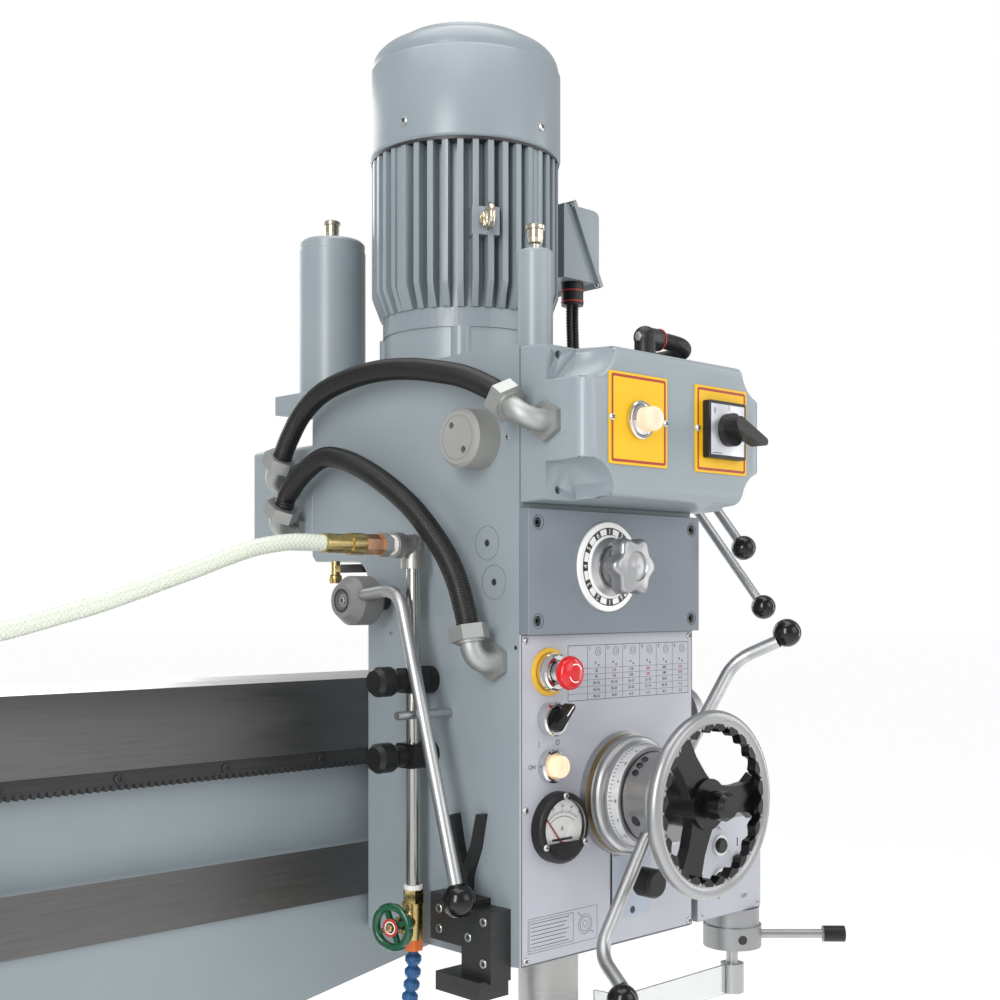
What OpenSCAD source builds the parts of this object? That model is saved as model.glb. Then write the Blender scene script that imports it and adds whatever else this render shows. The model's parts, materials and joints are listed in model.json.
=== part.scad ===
// Radial arm drill: base, turning column, elevating arm and a geared drilling head.
// The origin is on the column axis at floor level. +X runs along the arm, -Y faces the operator.

/* [Base] */
// Length of the base casting along the arm
base_l = 1660; // [1600:10:1720]
// Width of the base casting
base_w = 800; // [760:10:900]
// Height of the base casting
base_h = 180; // [160:5:190]
/* [Column] */
// Outside diameter of the turning sleeve
sleeve_d = 260; // [256:1:264]
// Diameter of the fixed inner post
post_d = 190; // [180:1:200]
// Height of the top of the sleeve
sleeve_top = 2010; // [2000:5:2040]
/* [Arm] */
// Height of the top of the arm
arm_top = 1543; // [1540:1:1546]
// Thickness of the arm from its front ways to its back
arm_t = 146; // [140:1:152]
// Distance from the column axis to the end of the arm
arm_end = 1200; // [1190:5:1240]
// Diameter of the barrel that slides on the sleeve
barrel_d = 400; // [392:2:404]
/* [Head] */
// Distance from the column axis to the left side of the head
head_x = 794; // [790:1:798]
// Width of the head casting
head_w = 312; // [310:1:316]
// Distance from the column axis to the front of the head
head_front = 370; // [366:1:374]
// Height of the underside of the head
head_low = 1219; // [1210:1:1222]
// Height of the top of the head
head_top = 1940; // [1938:1:1944]
/* [Spindle] */
// Diameter of the quill
quill_d = 75; // [74:0.5:76]
// Travel of the quill
quill_travel = 250; // [200:5:250]
// Large end of the taper socket in the spindle nose
socket_d = 31.27; // [25:0.01:34]
/* [Drives] */
// Gear module of the quill rack and its pinion
feed_module = 2.5; // [2.4:0.05:2.5]
// Gear module of the arm rack and its pinion
traverse_module = 3; // [2.8:0.1:3]
/* [Controls] */
// Outside diameter of the handwheel rim
wheel_d = 220; // [210:1:226]
// Distance of the feed lever knobs from the hub axis
lever_reach = 250; // [240:1:256]
// Diameter of the ammeter bezel
ammeter_d = 84; // [76:1:88]
/* [Motor] */
// Diameter over the cooling fins
motor_d = 254; // [244:2:256]
// Number of cooling fins
fin_count = 40; // [36:4:44]
/* [Conduit] */
// Outside diameter of the two side conduits
conduit_d = 27; // [24:0.5:28]
// Outside diameter of the coolant hose
hose_d = 19; // [16:0.5:20]

/* [Hidden] */
$fn = 64;

// Clearances: between bodies that pass each other, and in a running fit
gap = 0.3;
run = 0.05;

// Paint and metal colours
paint = "#8d9699";
panel_grey = "#c9ccc9";
steel = "#b9bcbe";
black = "#1d1d1f";
brass = "#b99a55";

// Base casting
base_x0 = -330;
base_x1 = base_x0 + base_l;
skirt_h = 40;
skirt_out = 18;
pad_d = 540;
pad_top = base_h + 20;
slot_x0 = 340;
slot_pitch = 210;
slot_mouth = 22;
slot_tee = 38;
slot_neck = 24;
slot_depth = 44;
anchor_d = 22;
anchor_in = 60;
anchor_pocket = 110;

// Column and elevating drive
flange_d = 470;
flange_h = 60;
neck_top = 300;
post_bore = 65;
collar_z0 = neck_top + 5;
collar_h = 85;
collar_d = 310;
screw_d = 36;
screw_y = 205;
screw_z0 = 330;
cap_h = 90;

// Arm
front_ways_y = -90;
arm_back_y = front_ways_y + arm_t;
arm_x0 = 150;
barrel_z0 = 1040;
barrel_z1 = 1660;
way_upper_z0 = arm_top - 90;
way_lower_z1 = arm_top - 212;
way_lower_z0 = arm_top - 280;
web_y = front_ways_y + 28;
under_set = 6;
arm_slope = 0.17;
arm_low_end = 1227;
recess_x0 = 190;
recess_x1 = arm_end - 40;

// Head frame: a runs right from the left side, t runs back from the front, z is the height
front_y = -head_front;
head_x1 = head_x + head_w;
head_back_y = front_ways_y - gap;
head_over_y = 32;
over_z = 1695;
edge_r = 14;

// Quill, spindle and their drive
spindle_x = head_x + 120;
spindle_y = front_y + 71;
quill_r = quill_d / 2;
quill_z0 = 1134;
quill_z1 = quill_z0 + 541;
spindle_r = 22;
spline_r = 18;
nose_r = 32;
nose_z0 = 1108;
spindle_z1 = 1880;
hub_x = head_x + 174;
hub_z = 1406;
feed_r = 8 * feed_module;
feed_rack_x = hub_x - feed_r;
traverse_r = 9 * traverse_module;
traverse_line_z = hub_z + traverse_r;
feed_shaft_r = 16;
feed_bore_r = 11.3;
traverse_shaft_r = 11;
pinion_y0 = spindle_y - 13;
pinion_y1 = spindle_y + 13;
rack_x0 = 240;
rack_x1 = 1155;
pressure = 20;
backlash = 0.18;
addendum = 0.9;
dedendum = 1.25;

// Front panel and speed plate
panel_t = 3;
panel_z0 = 1221;
panel_z1 = 1604;
plate_z1 = 1750;
plate_f = 15;
dial_at = [134, 1684];
estop_at = [45, 1560];
selector_at = [46, 1505];
start_at = [47, 1450];
ammeter_at = [58, 1377];
trip_knob_at = [190, 1297];
trip_plate_z = [1252, 1329];
trip_plate_a = [157, 227];

// Control box and its two switch plates
box_f = 105;
box_z0 = 1756;
box_z1 = 1937;
box_w = head_w + 14;
notch_r = 40;
power_at = [86, 1849];
switch_at = [239, 1849];

// Right side: button box and controls
bbox_x0 = head_x1 + 16;
bbox_w = 137;
bbox_d = 90;
bbox_z0 = 1220;
bbox_z1 = 1350;
bbox_top = 1375;
up_at = [372, 1316];
down_at = [372, 1271];
mode_at = [413, 1288];
ring_x = head_x + 445;
ring_y = front_y + 32;
ring_z0 = 1165;
guard_r = 118;

// Motor
motor_x = head_x + 156;
motor_y = -105;
adapter_d = 220;
adapter_z1 = 1996;
flange_z1 = 2021;
frame_z1 = 2236;
cover_d = motor_d + 6;
cover_z1 = 2397;
core_r = motor_d / 2 - 21;
rail_turn = 7;
terminal_x = motor_x + 181;
terminal_w = 80;
terminal_d = 104;
terminal_z0 = 2099;
terminal_z1 = 2203;
lid_tilt = 27;
lead_x = terminal_x;
lead_y = motor_y - 30;
lead_z = 1890;

// Oil reservoirs beside the motor
tank_at = [head_x + 70, 82];
tank_d = 95;
tank_z0 = 1930;
tank_z1 = 2150;
tube_at = [head_x + 66, front_y + 40];
tube_d = 43;
tube_z1 = 2065;

// Left side: coolant pipe, levers and caps
pipe_u = 28;
pipe_t = 156;
pipe_r = 8.6;
pipe_z0 = 1292;
pipe_z1 = 1682;
elbow_z = 1710;
fitting_u = 164;
valve_turn = 15;
clamp_z = [1455, 1546];
lever_t = 245;
lever_z = 1643;
lever_u = 56;
lever_bend = [150, 1658];
lever_ball = [42, 1300];
cap_at = [66, 1834];
pin_at = [119.5, 1508];

// Turn of the levers, spokes and lifting eye, and hubs on the right side
lever_turn = -38;
wheel_spokes = [0, 125, 250];
eye_turn = 240;
shift_hub_front = [62, 1834];
shift_hub_rear = [118, 1834];
selector_hub = [50, 1485];

// Junction box behind the head
jbox_y1 = 175;
jbox_z = [1715, 1855];
jbox_w = 150;

// Conduits: distance off the left side and hand chosen routes in the plane of the left side
conduit_u = 35;
conduit_x = head_x - conduit_u;
elbow_r = 20;
upper_tz = [[-6, 1874], [10, 1885], [56, 1904], [106, 1916], [158, 1925], [217, 1929], [279, 1925],
            [335, 1913], [378, 1890], [406, 1861], [423, 1837]];
lower_tz = [[50, 1614], [54, 1630], [69, 1667], [90, 1699], [122, 1732], [156, 1760], [200, 1787],
            [243, 1808], [288, 1824], [330, 1829], [372, 1813], [408, 1788], [419, 1771]];
motor_xz = [[lead_x, 2066], [lead_x, 2040], [lead_x + 1.5, 2005], [lead_x + 1.5, 1975],
            [lead_x, 1945], [lead_x, 1924]];
box_xyz = [[990, -415, 1962], [1006, -415, 1962], [1036, -411, 1961], [1060, -395, 1959],
           [1073, -364, 1957], [1076, -332, 1957], [1076, -310, 1957]];
motor_hose_d = 22;
box_hose_d = 20;
ribs_side = 9;
ribs_motor = 4;
ribs_box = 3;

// Coolant hose from the head to the arm barrel, in millimetres
hose_route = [[630, -214, 1710], [588, -214, 1710], [541, -214, 1703], [501, -214, 1691],
              [461, -214, 1677], [421, -215, 1664], [381, -216, 1651], [341, -218, 1639],
              [301, -220, 1629], [261, -223, 1619], [221, -226, 1611], [181, -228, 1606],
              [141, -230, 1603], [101, -230, 1602], [61, -230, 1604], [21, -230, 1608],
              [-19, -230, 1615], [-59, -230, 1620], [-94, -230, 1620]];
port_x = -120;
port_z = 1620;
port_y = -230;
port_boss_y = -188;

// Points on an arc, for outlines with round corners
function arc(c, r, a0, a1, n = 6) =
    [for (i = [0:n]) let (a = a0 + (a1 - a0) * i / n) c + r * [cos(a), sin(a)]];

// Outline of a rectangle with round corners, centred on the origin
function round_rect(w, h, r) =
    concat(arc([w / 2 - r, h / 2 - r], r, 0, 90), arc([r - w / 2, h / 2 - r], r, 90, 180),
           arc([r - w / 2, r - h / 2], r, 180, 270), arc([w / 2 - r, r - h / 2], r, 270, 360));

// Involute tooth: half angle at a radius, and the outline of a gear centred on the origin
function involute(a) = tan(a) * 180 / PI - a;
function half_angle(pitch_r, teeth, radius) =
    90 / teeth - backlash / pitch_r * 180 / PI + involute(pressure)
    - involute(acos(min(1, pitch_r * cos(pressure) / radius)));
function gear_outline(m, teeth) =
    let (pitch_r = m * teeth / 2, tip = pitch_r + addendum * m, root = pitch_r - dedendum * m,
         start = max(root, pitch_r * cos(pressure)),
         flank = [for (i = [0:4]) start + (tip - start) * i / 4])
    [for (k = [0:teeth - 1]) let (c = 360 * k / teeth, foot = half_angle(pitch_r, teeth, start))
        each concat([root * [cos(c - foot), sin(c - foot)]],
            [for (f = flank) let (h = half_angle(pitch_r, teeth, f)) f * [cos(c - h), sin(c - h)]],
            [for (i = [4:-1:0]) let (f = flank[i], h = half_angle(pitch_r, teeth, f))
                f * [cos(c + h), sin(c + h)]],
            [root * [cos(c + foot), sin(c + foot)]])];

// Outline of a toothed edge from s0 to s1 with teeth pointing to -y and a gap centred on the origin
function rack_edge(m, s0, s1) =
    let (p = PI * m, tip = p / 4 - addendum * m * tan(pressure) - backlash,
         foot = p / 4 + dedendum * m * tan(pressure) - backlash,
         k0 = ceil((s0 + foot) / p - 0.5), k1 = floor((s1 - foot) / p - 0.5))
    [for (k = [k0:k1]) let (c = (k + 0.5) * p)
        each [[c - foot, dedendum * m], [c - tip, -addendum * m],
              [c + tip, -addendum * m], [c + foot, dedendum * m]]];

// Sweeping a ring of points along a route
function unit(v) = v / norm(v);
function heading(p, i) = unit(p[min(i + 1, len(p) - 1)] - p[max(i - 1, 0)]);
function ring_points(c, t, side, r, n) =
    let (e1 = unit(cross(side, t)), e2 = cross(t, e1))
    [for (k = [0:n - 1]) c + r * (cos(360 * k / n) * e1 + sin(360 * k / n) * e2)];
function spline(p, i, s) =
    0.5 * (2 * p[i] + (p[i + 1] - p[i - 1]) * s
           + (2 * p[i - 1] - 5 * p[i] + 4 * p[i + 1] - p[i + 2]) * s * s
           + (3 * p[i] - p[i - 1] - 3 * p[i + 1] + p[i + 2]) * s * s * s);
function skin(rings, n, first, flip) =
    [for (i = [0:rings - 2], k = [0:n - 1])
        let (a = first + i * n + k, b = first + i * n + (k + 1) % n)
        each (flip ? [[a, b, a + n], [b, b + n, a + n]] : [[a, a + n, b], [b, a + n, b + n]])];

// Plain closed tube along a route
module tube(route, r, n, side) {
    rings = len(route);
    points = [for (i = [0:rings - 1]) each ring_points(route[i], heading(route, i), side, r, n)];
    start_cap = [for (k = [0:n - 1]) k];
    end_cap = [for (k = [n - 1:-1:0]) (rings - 1) * n + k];
    polyhedron(points, concat(skin(rings, n, 0, false), [start_cap, end_cap]));
}

// Ribbed hose with a bore: straight plain ends, and ribs on every stretch between them
module ribbed_hose(route, od, ribs, side) {
    n = 8;
    last = len(route) - 1;
    crest = od / 2;
    valley = od / 2 - 1.4;
    bore = od / 2 - 3.6;
    body = [for (i = [1:last - 2], j = [0:2 * ribs - 1]) spline(route, i, j / (2 * ribs))];
    outer = concat([route[0]], body, [route[last - 1], route[last]]);
    inner = route;
    outer_r = [for (i = [0:len(outer) - 1])
        i < 2 || i > len(outer) - 3 || i % 2 == 1 ? crest : valley];
    no = len(outer);
    ni = len(inner);
    points = concat(
        [for (i = [0:no - 1]) each ring_points(outer[i], heading(outer, i), side, outer_r[i], n)],
        [for (i = [0:ni - 1]) each ring_points(inner[i], heading(inner, i), side, bore, n)]);
    f = no * n;
    start_ring = [for (k = [0:n - 1]) let (m = (k + 1) % n) each [[k, m, f + m], [k, f + m, f + k]]];
    eo = (no - 1) * n;
    ei = f + (ni - 1) * n;
    end_ring = [for (k = [0:n - 1]) let (m = (k + 1) % n)
        each [[eo + k, ei + m, eo + m], [eo + k, ei + k, ei + m]]];
    polyhedron(points, concat(skin(no, n, 0, false), skin(ni, n, f, true), start_ring, end_ring));
}

// Places on the head: each turns +Z outwards from the face that it names
module on_front(at, f = 0) {
    translate([head_x + at[0], front_y - f, at[1]]) rotate([90, 0, 0]) children();
}
module on_left(t, z, u = 0) {
    translate([head_x - u, front_y + t, z]) rotate([0, -90, 0]) children();
}
module on_right(t, z, u = 0) {
    translate([head_x1 + u, front_y + t, z]) rotate([0, 90, 0]) children();
}

// Round rod between two points, and a prism with round corners
module rod(p, q, r) {
    d = q - p;
    translate(p) rotate([0, acos(d[2] / norm(d)), atan2(d[1], d[0])]) cylinder(h = norm(d), r = r);
}
module slab(w, h, t, r) {
    linear_extrude(t) polygon(round_rect(w, h, r));
}
// Ring of outside and inside radius
module washer(ro, ri, h) {
    difference() {
        cylinder(h = h, r = ro);
        translate([0, 0, -1]) cylinder(h = h + 2, r = ri);
    }
}
// Sharp vertical edge to be taken off a corner, along +Z
module edge_cutter(r, h) {
    difference() {
        translate([-1, -1, 0]) cube([r + 1, r + 1, h]);
        translate([r, r, -1]) cylinder(h = h + 2, r = r);
    }
}

// Floor casting with tee slots, coolant gutter, column pad and anchor pockets
module base_plate() {
    color(paint) difference() {
        union() {
            translate([base_x0 + base_l / 2, 0, 0]) slab(base_l, base_w, skirt_h, 40);
            translate([base_x0 + base_l / 2, 0, 0])
                slab(base_l - 2 * skirt_out, base_w - 2 * skirt_out, base_h, 30);
            cylinder(h = pad_top, d = pad_d);
        }
        for (k = [-1:1]) translate([slot_x0, k * slot_pitch, base_h]) tee_slot();
        for (x = [base_x0 + anchor_in, base_x1 - anchor_in], y = [-1, 1])
            translate([x, y * (base_w / 2 - anchor_in), 0]) {
                translate([0, 0, -1]) cylinder(h = base_h, d = anchor_d);
                translate([-anchor_pocket / 2, -anchor_pocket / 2, skirt_h])
                    cube([anchor_pocket, anchor_pocket, base_h]);
            }
        translate([slot_x0 - 40, -base_w / 2 + 50, base_h - 12]) cube([base_l, 30, 13]);
        translate([slot_x0 - 40, base_w / 2 - 80, base_h - 12]) cube([base_l, 30, 13]);
    }
}
module tee_slot() {
    run_l = base_x1 - slot_x0 + 1;
    translate([0, -slot_mouth / 2, -slot_depth]) cube([run_l, slot_mouth, slot_depth + 1]);
    translate([0, -slot_tee / 2, -slot_depth]) cube([run_l, slot_tee, slot_depth - slot_neck]);
}

// Fixed post with its foot flange
module column_post() {
    color(steel) translate([0, 0, pad_top]) rotate_extrude()
        polygon([[0, 0], [flange_d / 2, 0], [flange_d / 2, flange_h - 8], [flange_d / 2 - 8, flange_h],
                 [170, flange_h], [150, neck_top - pad_top], [post_d / 2, neck_top - pad_top],
                 [post_d / 2, sleeve_top - 20 - pad_top], [post_bore, sleeve_top - 20 - pad_top],
                 [post_bore, 30], [0, 30]]);
}

// Turning sleeve with its clamp collar, split lugs and screw foot
module column_sleeve() {
    color(steel) difference() {
        union() {
            translate([0, 0, collar_z0]) cylinder(h = sleeve_top - collar_z0, d = sleeve_d);
            translate([0, 0, collar_z0]) cylinder(h = collar_h, d = collar_d);
            translate([-40, 0, collar_z0]) cube([80, screw_y, collar_h]);
            translate([0, screw_y, collar_z0]) cylinder(h = collar_h, r = 40);
            translate([-45, -collar_d / 2 - 40, collar_z0]) cube([90, 80, collar_h]);
        }
        translate([0, 0, collar_z0 - 1]) cylinder(h = sleeve_top, r = post_d / 2 + run);
        translate([-3, -collar_d / 2 - 41, collar_z0 - 1]) cube([6, 45, collar_h + 2]);
        translate([0, screw_y, screw_z0]) cylinder(h = 200, d = screw_d);
    }
}

// Gear case over the column with the elevating motor
module lift_drive() {
    color(paint) difference() {
        union() {
            translate([0, 0, sleeve_top]) rotate_extrude()
                polygon([[0, 0], [150, 0], [150, cap_h - 20], [130, cap_h], [0, cap_h]]);
            translate([0, 105, sleeve_top]) slab(150, 290, cap_h - 6, 40);
            translate([0, 0, sleeve_top + cap_h]) cylinder(h = 24, r = 86);
            translate([0, 0, sleeve_top + cap_h + 24]) linear_extrude(150) polygon(fin_outline(78, 64, 24));
            translate([0, 0, sleeve_top + cap_h + 174]) rotate_extrude()
                polygon(concat([[0, 0], [82, 0]], arc([60, 38], 22, 0, 90), [[0, 60]]));
        }
        translate([0, screw_y, sleeve_top - 1]) cylinder(h = 41, d = screw_d);
    }
}
function fin_outline(tip, core, count) =
    [for (k = [0:count - 1]) let (c = 360 * k / count, edge = 70 / count, foot = 100 / count)
        each [core * [cos(c - foot), sin(c - foot)], tip * [cos(c - edge), sin(c - edge)],
              tip * [cos(c + edge), sin(c + edge)], core * [cos(c + foot), sin(c + foot)]]];

// Elevating screw, held at its foot and in the gear case
module lift_screw() {
    color(steel) translate([0, screw_y, screw_z0]) cylinder(h = sleeve_top + 40 - screw_z0, d = screw_d);
}

// Arm: barrel on the sleeve, tapered box girder, ground ways and a recess for the rack
module arm_casting() {
    color(paint) difference() {
        union() {
            translate([0, 0, barrel_z0]) cylinder(h = barrel_z1 - barrel_z0, d = barrel_d);
            translate([0, screw_y, barrel_z0 + 60]) cylinder(h = 420, r = 52);
            translate([0, arm_back_y, 0]) rotate([90, 0, 0]) linear_extrude(arm_t) polygon([
                [arm_x0, arm_low_end - arm_slope * (arm_end - arm_x0)], [arm_end, arm_low_end],
                [arm_end, arm_top - 30], [arm_end - 30, arm_top], [arm_x0, arm_top]]);
            translate([port_x, 0, port_z]) rotate([90, 0, 0]) cylinder(h = -port_boss_y, r = 24);
        }
        translate([0, 0, barrel_z0 - 1]) cylinder(h = 800, r = sleeve_d / 2 + run);
        translate([0, screw_y, barrel_z0]) cylinder(h = 700, r = screw_d / 2 + 1);
        translate([recess_x0, front_ways_y - 20, way_lower_z1])
            cube([recess_x1 - recess_x0, web_y - front_ways_y + 20, way_upper_z0 - way_lower_z1]);
        translate([recess_x0, front_ways_y - 20, 900])
            cube([arm_end, under_set + 20, way_lower_z0 - 900]);
        translate([-barrel_d, -3, barrel_z0 - 1]) cube([barrel_d - 60, 6, 800]);
    }
}

// Toothed rack under the upper way
module arm_rack() {
    edge = rack_edge(traverse_module, rack_x0 - hub_x, rack_x1 - hub_x);
    top = way_upper_z0 - traverse_line_z;
    color(black) translate([hub_x, web_y, traverse_line_z]) rotate([90, 0, 0])
        linear_extrude(web_y - front_ways_y - 1.5) polygon(concat(
            [[rack_x0 - hub_x, top], [rack_x0 - hub_x, dedendum * traverse_module]], edge,
            [[rack_x1 - hub_x, dedendum * traverse_module], [rack_x1 - hub_x, top]]));
}

// Elbow fitting on the barrel where the hose ends
module hose_port() {
    color(brass) {
        rod([port_x, port_boss_y, port_z], [port_x, port_y, port_z], 12);
        translate([port_x - 14, port_y - 14, port_z - 14]) cube(28);
        rod([port_x, port_y, port_z], [hose_route[len(hose_route) - 1][0] - gap, port_y, port_z], 10);
    }
}

// Head casting: body in front of the arm, overhang above it, bores for quill and shafts
module head_casting() {
    color(paint) difference() {
        union() {
            translate([head_x, 0, 0]) rotate([90, 0, 90]) linear_extrude(head_w) polygon(concat(
                [[front_y, head_low], [front_y, head_top]],
                arc([head_over_y - 60, head_top - 60], 60, 90, 0, 8),
                [[head_over_y, over_z + 8], [head_over_y - 8, over_z]],
                arc([head_back_y + 30, over_z - 30], 30, 90, 180),
                [[head_back_y, head_low]]));
            translate([head_x + 8, head_over_y - 40, tank_z0 - 26]) cube([124, 140, 26]);
        }
        translate([head_x, front_y, head_low - 1]) edge_cutter(edge_r, panel_z0 - head_low + 1);
        translate([spindle_x, spindle_y, head_low - 1])
            cylinder(h = quill_z1 + 6 - head_low, r = quill_r + run);
        translate([spindle_x, spindle_y, head_low]) cylinder(h = spindle_z1 + 6 - head_low, r = spline_r + 1);
        translate([hub_x, front_y - 1, hub_z]) rotate([-90, 0, 0])
            cylinder(h = pinion_y1 + 46 - front_y, r = feed_shaft_r + run);
        translate([hub_x, pinion_y0 - 1, hub_z]) rotate([-90, 0, 0])
            cylinder(h = pinion_y1 - pinion_y0 + 2, r = feed_r + 4);
        translate([hub_x, front_y, hub_z]) rotate([-90, 0, 0])
            cylinder(h = head_front, r = traverse_shaft_r + run);
        on_left(lever_t, lever_z, -60) cylinder(h = 61, r = 12 + run);
        for (p = [shift_hub_front, shift_hub_rear]) on_right(p[0], p[1], -30) cylinder(h = 31, r = 9 + run);
        on_right(selector_hub[0], selector_hub[1], -30) cylinder(h = 31, r = 9 + run);
        on_front(dial_at, -30) cylinder(h = 31, r = 9 + run);
    }
}

// Keeper that hooks the head over the top and back of the arm
module saddle_keepers() {
    color(paint) translate([head_x + 172, 0, 0]) rotate([90, 0, 90]) linear_extrude(120) polygon([
        [-46, over_z], [-46, arm_top + gap], [arm_back_y + gap, arm_top + gap],
        [arm_back_y + gap, arm_top - 140], [arm_back_y + 38, arm_top - 140],
        [arm_back_y + 38, over_z - 40], [head_over_y - 10, over_z]]);
}

// Printed front panel with its feed plate
module control_panel() {
    color(panel_grey) difference() {
        union() {
            translate([head_x, front_y - panel_t, panel_z0]) cube([head_w, panel_t, panel_z1 - panel_z0]);
            translate([head_x + trip_plate_a[0], front_y - panel_t - 1.5, trip_plate_z[0]])
                cube([trip_plate_a[1] - trip_plate_a[0], 2, trip_plate_z[1] - trip_plate_z[0]]);
        }
        on_front([hub_x - head_x, hub_z], -1) cylinder(h = 10, r = feed_shaft_r + 4);
    }
}

// Thick plate that carries the speed dial
module speed_plate() {
    color(paint) difference() {
        union() {
            translate([head_x, front_y - plate_f, panel_z1]) cube([head_w, plate_f, plate_z1 - panel_z1]);
            on_front(dial_at, plate_f) cylinder(h = 4, r = 54);
            on_front(dial_at, plate_f + 4) cylinder(h = 3, r = 38);
        }
        on_front(dial_at, -1) cylinder(h = 30, r = 9 + run);
        for (a = [16, head_w - 16], z = [panel_z1 + 16, plate_z1 - 16])
            on_front([a, z], plate_f - 8) cylinder(h = 9, r = 6);
    }
}

// Cast switch box on the front of the head, with notched corners
module control_box() {
    w = box_w;
    color(paint) difference() {
        translate([head_x, front_y, 0]) rotate([90, 0, 90]) linear_extrude(w) polygon(concat(
            [[0, box_z0]], arc([-box_f + 14, box_z0 + 19], 14, 265, 180),
            arc([-box_f + 10, box_z1 - 16], 10, 180, 93), [[0, box_z1]]));
        for (side = [0, 1]) translate([head_x + side * w, front_y - box_f, box_z0 - 1])
            mirror([side, 0, 0]) edge_cutter(18, box_z1 - box_z0 + 2);
        for (a = [10, w - 2], z = [box_z0 + 6, box_z1 - 5]) on_front([a, z], 42)
            cylinder(h = box_f, r = notch_r);
        for (a = [21, w - 20], z = [box_z0 + 14, box_z1 - 13]) on_front([a, z], 30)
            cylinder(h = 13, r = 5);
    }
}

// Two plates under the lamp and the main switch, and the switch's own square plate
module switch_plates() {
    color("#f2b713") for (at = [power_at, switch_at]) on_front(at, box_f) slab(100, 104, 2, 2);
    color(black) difference() {
        on_front(switch_at, box_f + 2) slab(73, 69, 9, 3);
        on_front(switch_at, box_f) cylinder(h = 20, r = 8 + run);
    }
}

// Lamp lens on its plate
module power_lamp() {
    color("#fff1d0") on_front(power_at, box_f + 2) rotate_extrude()
        polygon(concat([[0, 0], [17, 0], [17, 6], [14, 8], [14, 22]], arc([8, 22], 6, 0, 90), [[0, 28]]));
}

// Bezels round the panel controls and the fixed flange behind the feed hub
module panel_rings() {
    color(steel) {
        for (at = [selector_at, start_at]) on_front(at, panel_t) washer(20, 13 + gap, 8);
        on_front(estop_at, panel_t) washer(22.5, 12 + gap, 8);
        for (at = [up_at, down_at]) on_front(at) washer(14, 10 + gap, 5);
        on_front(mode_at) washer(14, 10 + gap, 5);
        on_front([hub_x - head_x, hub_z], panel_t) washer(75.5, feed_shaft_r + 2, 9);
    }
}

// Round ammeter case with an open dial face
module ammeter() {
    color(black) on_front(ammeter_at, panel_t) difference() {
        rotate_extrude() polygon(concat([[0, 0], [ammeter_d / 2, 0]],
            arc([ammeter_d / 2 - 5, 11], 5, 0, 90), [[0, 16]]));
        translate([0, 0, 9]) cylinder(h = 10, r = ammeter_d / 2 - 8);
    }
}
module ammeter_needle() {
    color("firebrick") on_front([ammeter_at[0], ammeter_at[1] - 20], panel_t + 9 + gap) {
        cylinder(h = 3, r = 4);
        rotate([0, 0, 40]) translate([-0.6, 0, 1]) cube([1.2, 44, 1]);
    }
}

// Push-button station on the right of the head, with its carrying bracket
module button_box() {
    color(paint) {
        translate([head_x1, front_y + 12, bbox_z0 + 20]) cube([bbox_x0 - head_x1, 60, 90]);
        difference() {
            translate([bbox_x0, front_y, 0]) rotate([90, 0, 90]) linear_extrude(bbox_w) polygon([
                [0, bbox_z0], [0, bbox_z1], [22, bbox_top], [bbox_d, bbox_top], [bbox_d, bbox_z0]]);
            for (at = [up_at, down_at, mode_at]) on_front(at, -12) cylinder(h = 13, r = 10 + gap);
            translate([ring_x, ring_y, bbox_z0 - 1]) cylinder(h = 30, r = 8 + run);
        }
    }
}

// Round foot between the head and the motor
module motor_adapter() {
    color(paint) translate([motor_x, motor_y, head_top]) {
        cylinder(h = adapter_z1 - head_top, d = adapter_d);
        for (k = [0:3]) rotate([0, 0, 45 + 90 * k]) translate([adapter_d / 2 - 8, 0, 0])
            cylinder(h = adapter_z1 - head_top, r = 15);
    }
}

// Finned motor frame with its flange, side rails, eye pad and terminal pad
module motor_frame() {
    h = frame_z1 - flange_z1;
    color(paint) translate([motor_x, motor_y, 0]) difference() {
        union() {
            translate([0, 0, adapter_z1]) cylinder(h = flange_z1 - adapter_z1, d = adapter_d + 4);
            translate([0, 0, flange_z1]) intersection() {
                union() {
                    linear_extrude(h) polygon(fin_outline(motor_d / 2, core_r, fin_count));
                    for (k = [0:3]) rotate([0, 0, rail_turn + 90 * k]) translate([core_r - 2, -9, 0])
                        cube([motor_d / 2 - core_r, 18, h]);
                    rotate([0, 0, eye_turn]) translate([core_r - 2, -18, 90])
                        cube([motor_d / 2 - core_r + 1, 36, 36]);
                }
                rotate_extrude() polygon(
                    [[0, 0], [motor_d / 2 - 12, 0], [motor_d / 2, 32], [motor_d / 2, h], [0, h]]);
            }
            translate([core_r - 2, -48, terminal_z0 - 6]) cube([motor_d / 2 + 4 - core_r, 96, 115]);
        }
        rotate([0, 0, eye_turn]) translate([motor_d / 2 - 18, 0, flange_z1 + 108]) rotate([0, 90, 0])
            cylinder(h = 30, r = 5 + gap);
    }
}

// Fan cover with its bead and domed top
module fan_cover() {
    r = cover_d / 2;
    h = cover_z1 - frame_z1;
    color(paint) translate([motor_x, motor_y, frame_z1]) rotate_extrude() polygon(concat(
        [[0, 0], [r - 3, 0], [r, 3], [r, h - 45], [r - 2.5, h - 42]],
        arc([r - 33, h - 40], 30.5, 0, 75, 8), [[r - 35, h - 5], [r - 40, h], [0, h]]));
}

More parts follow.
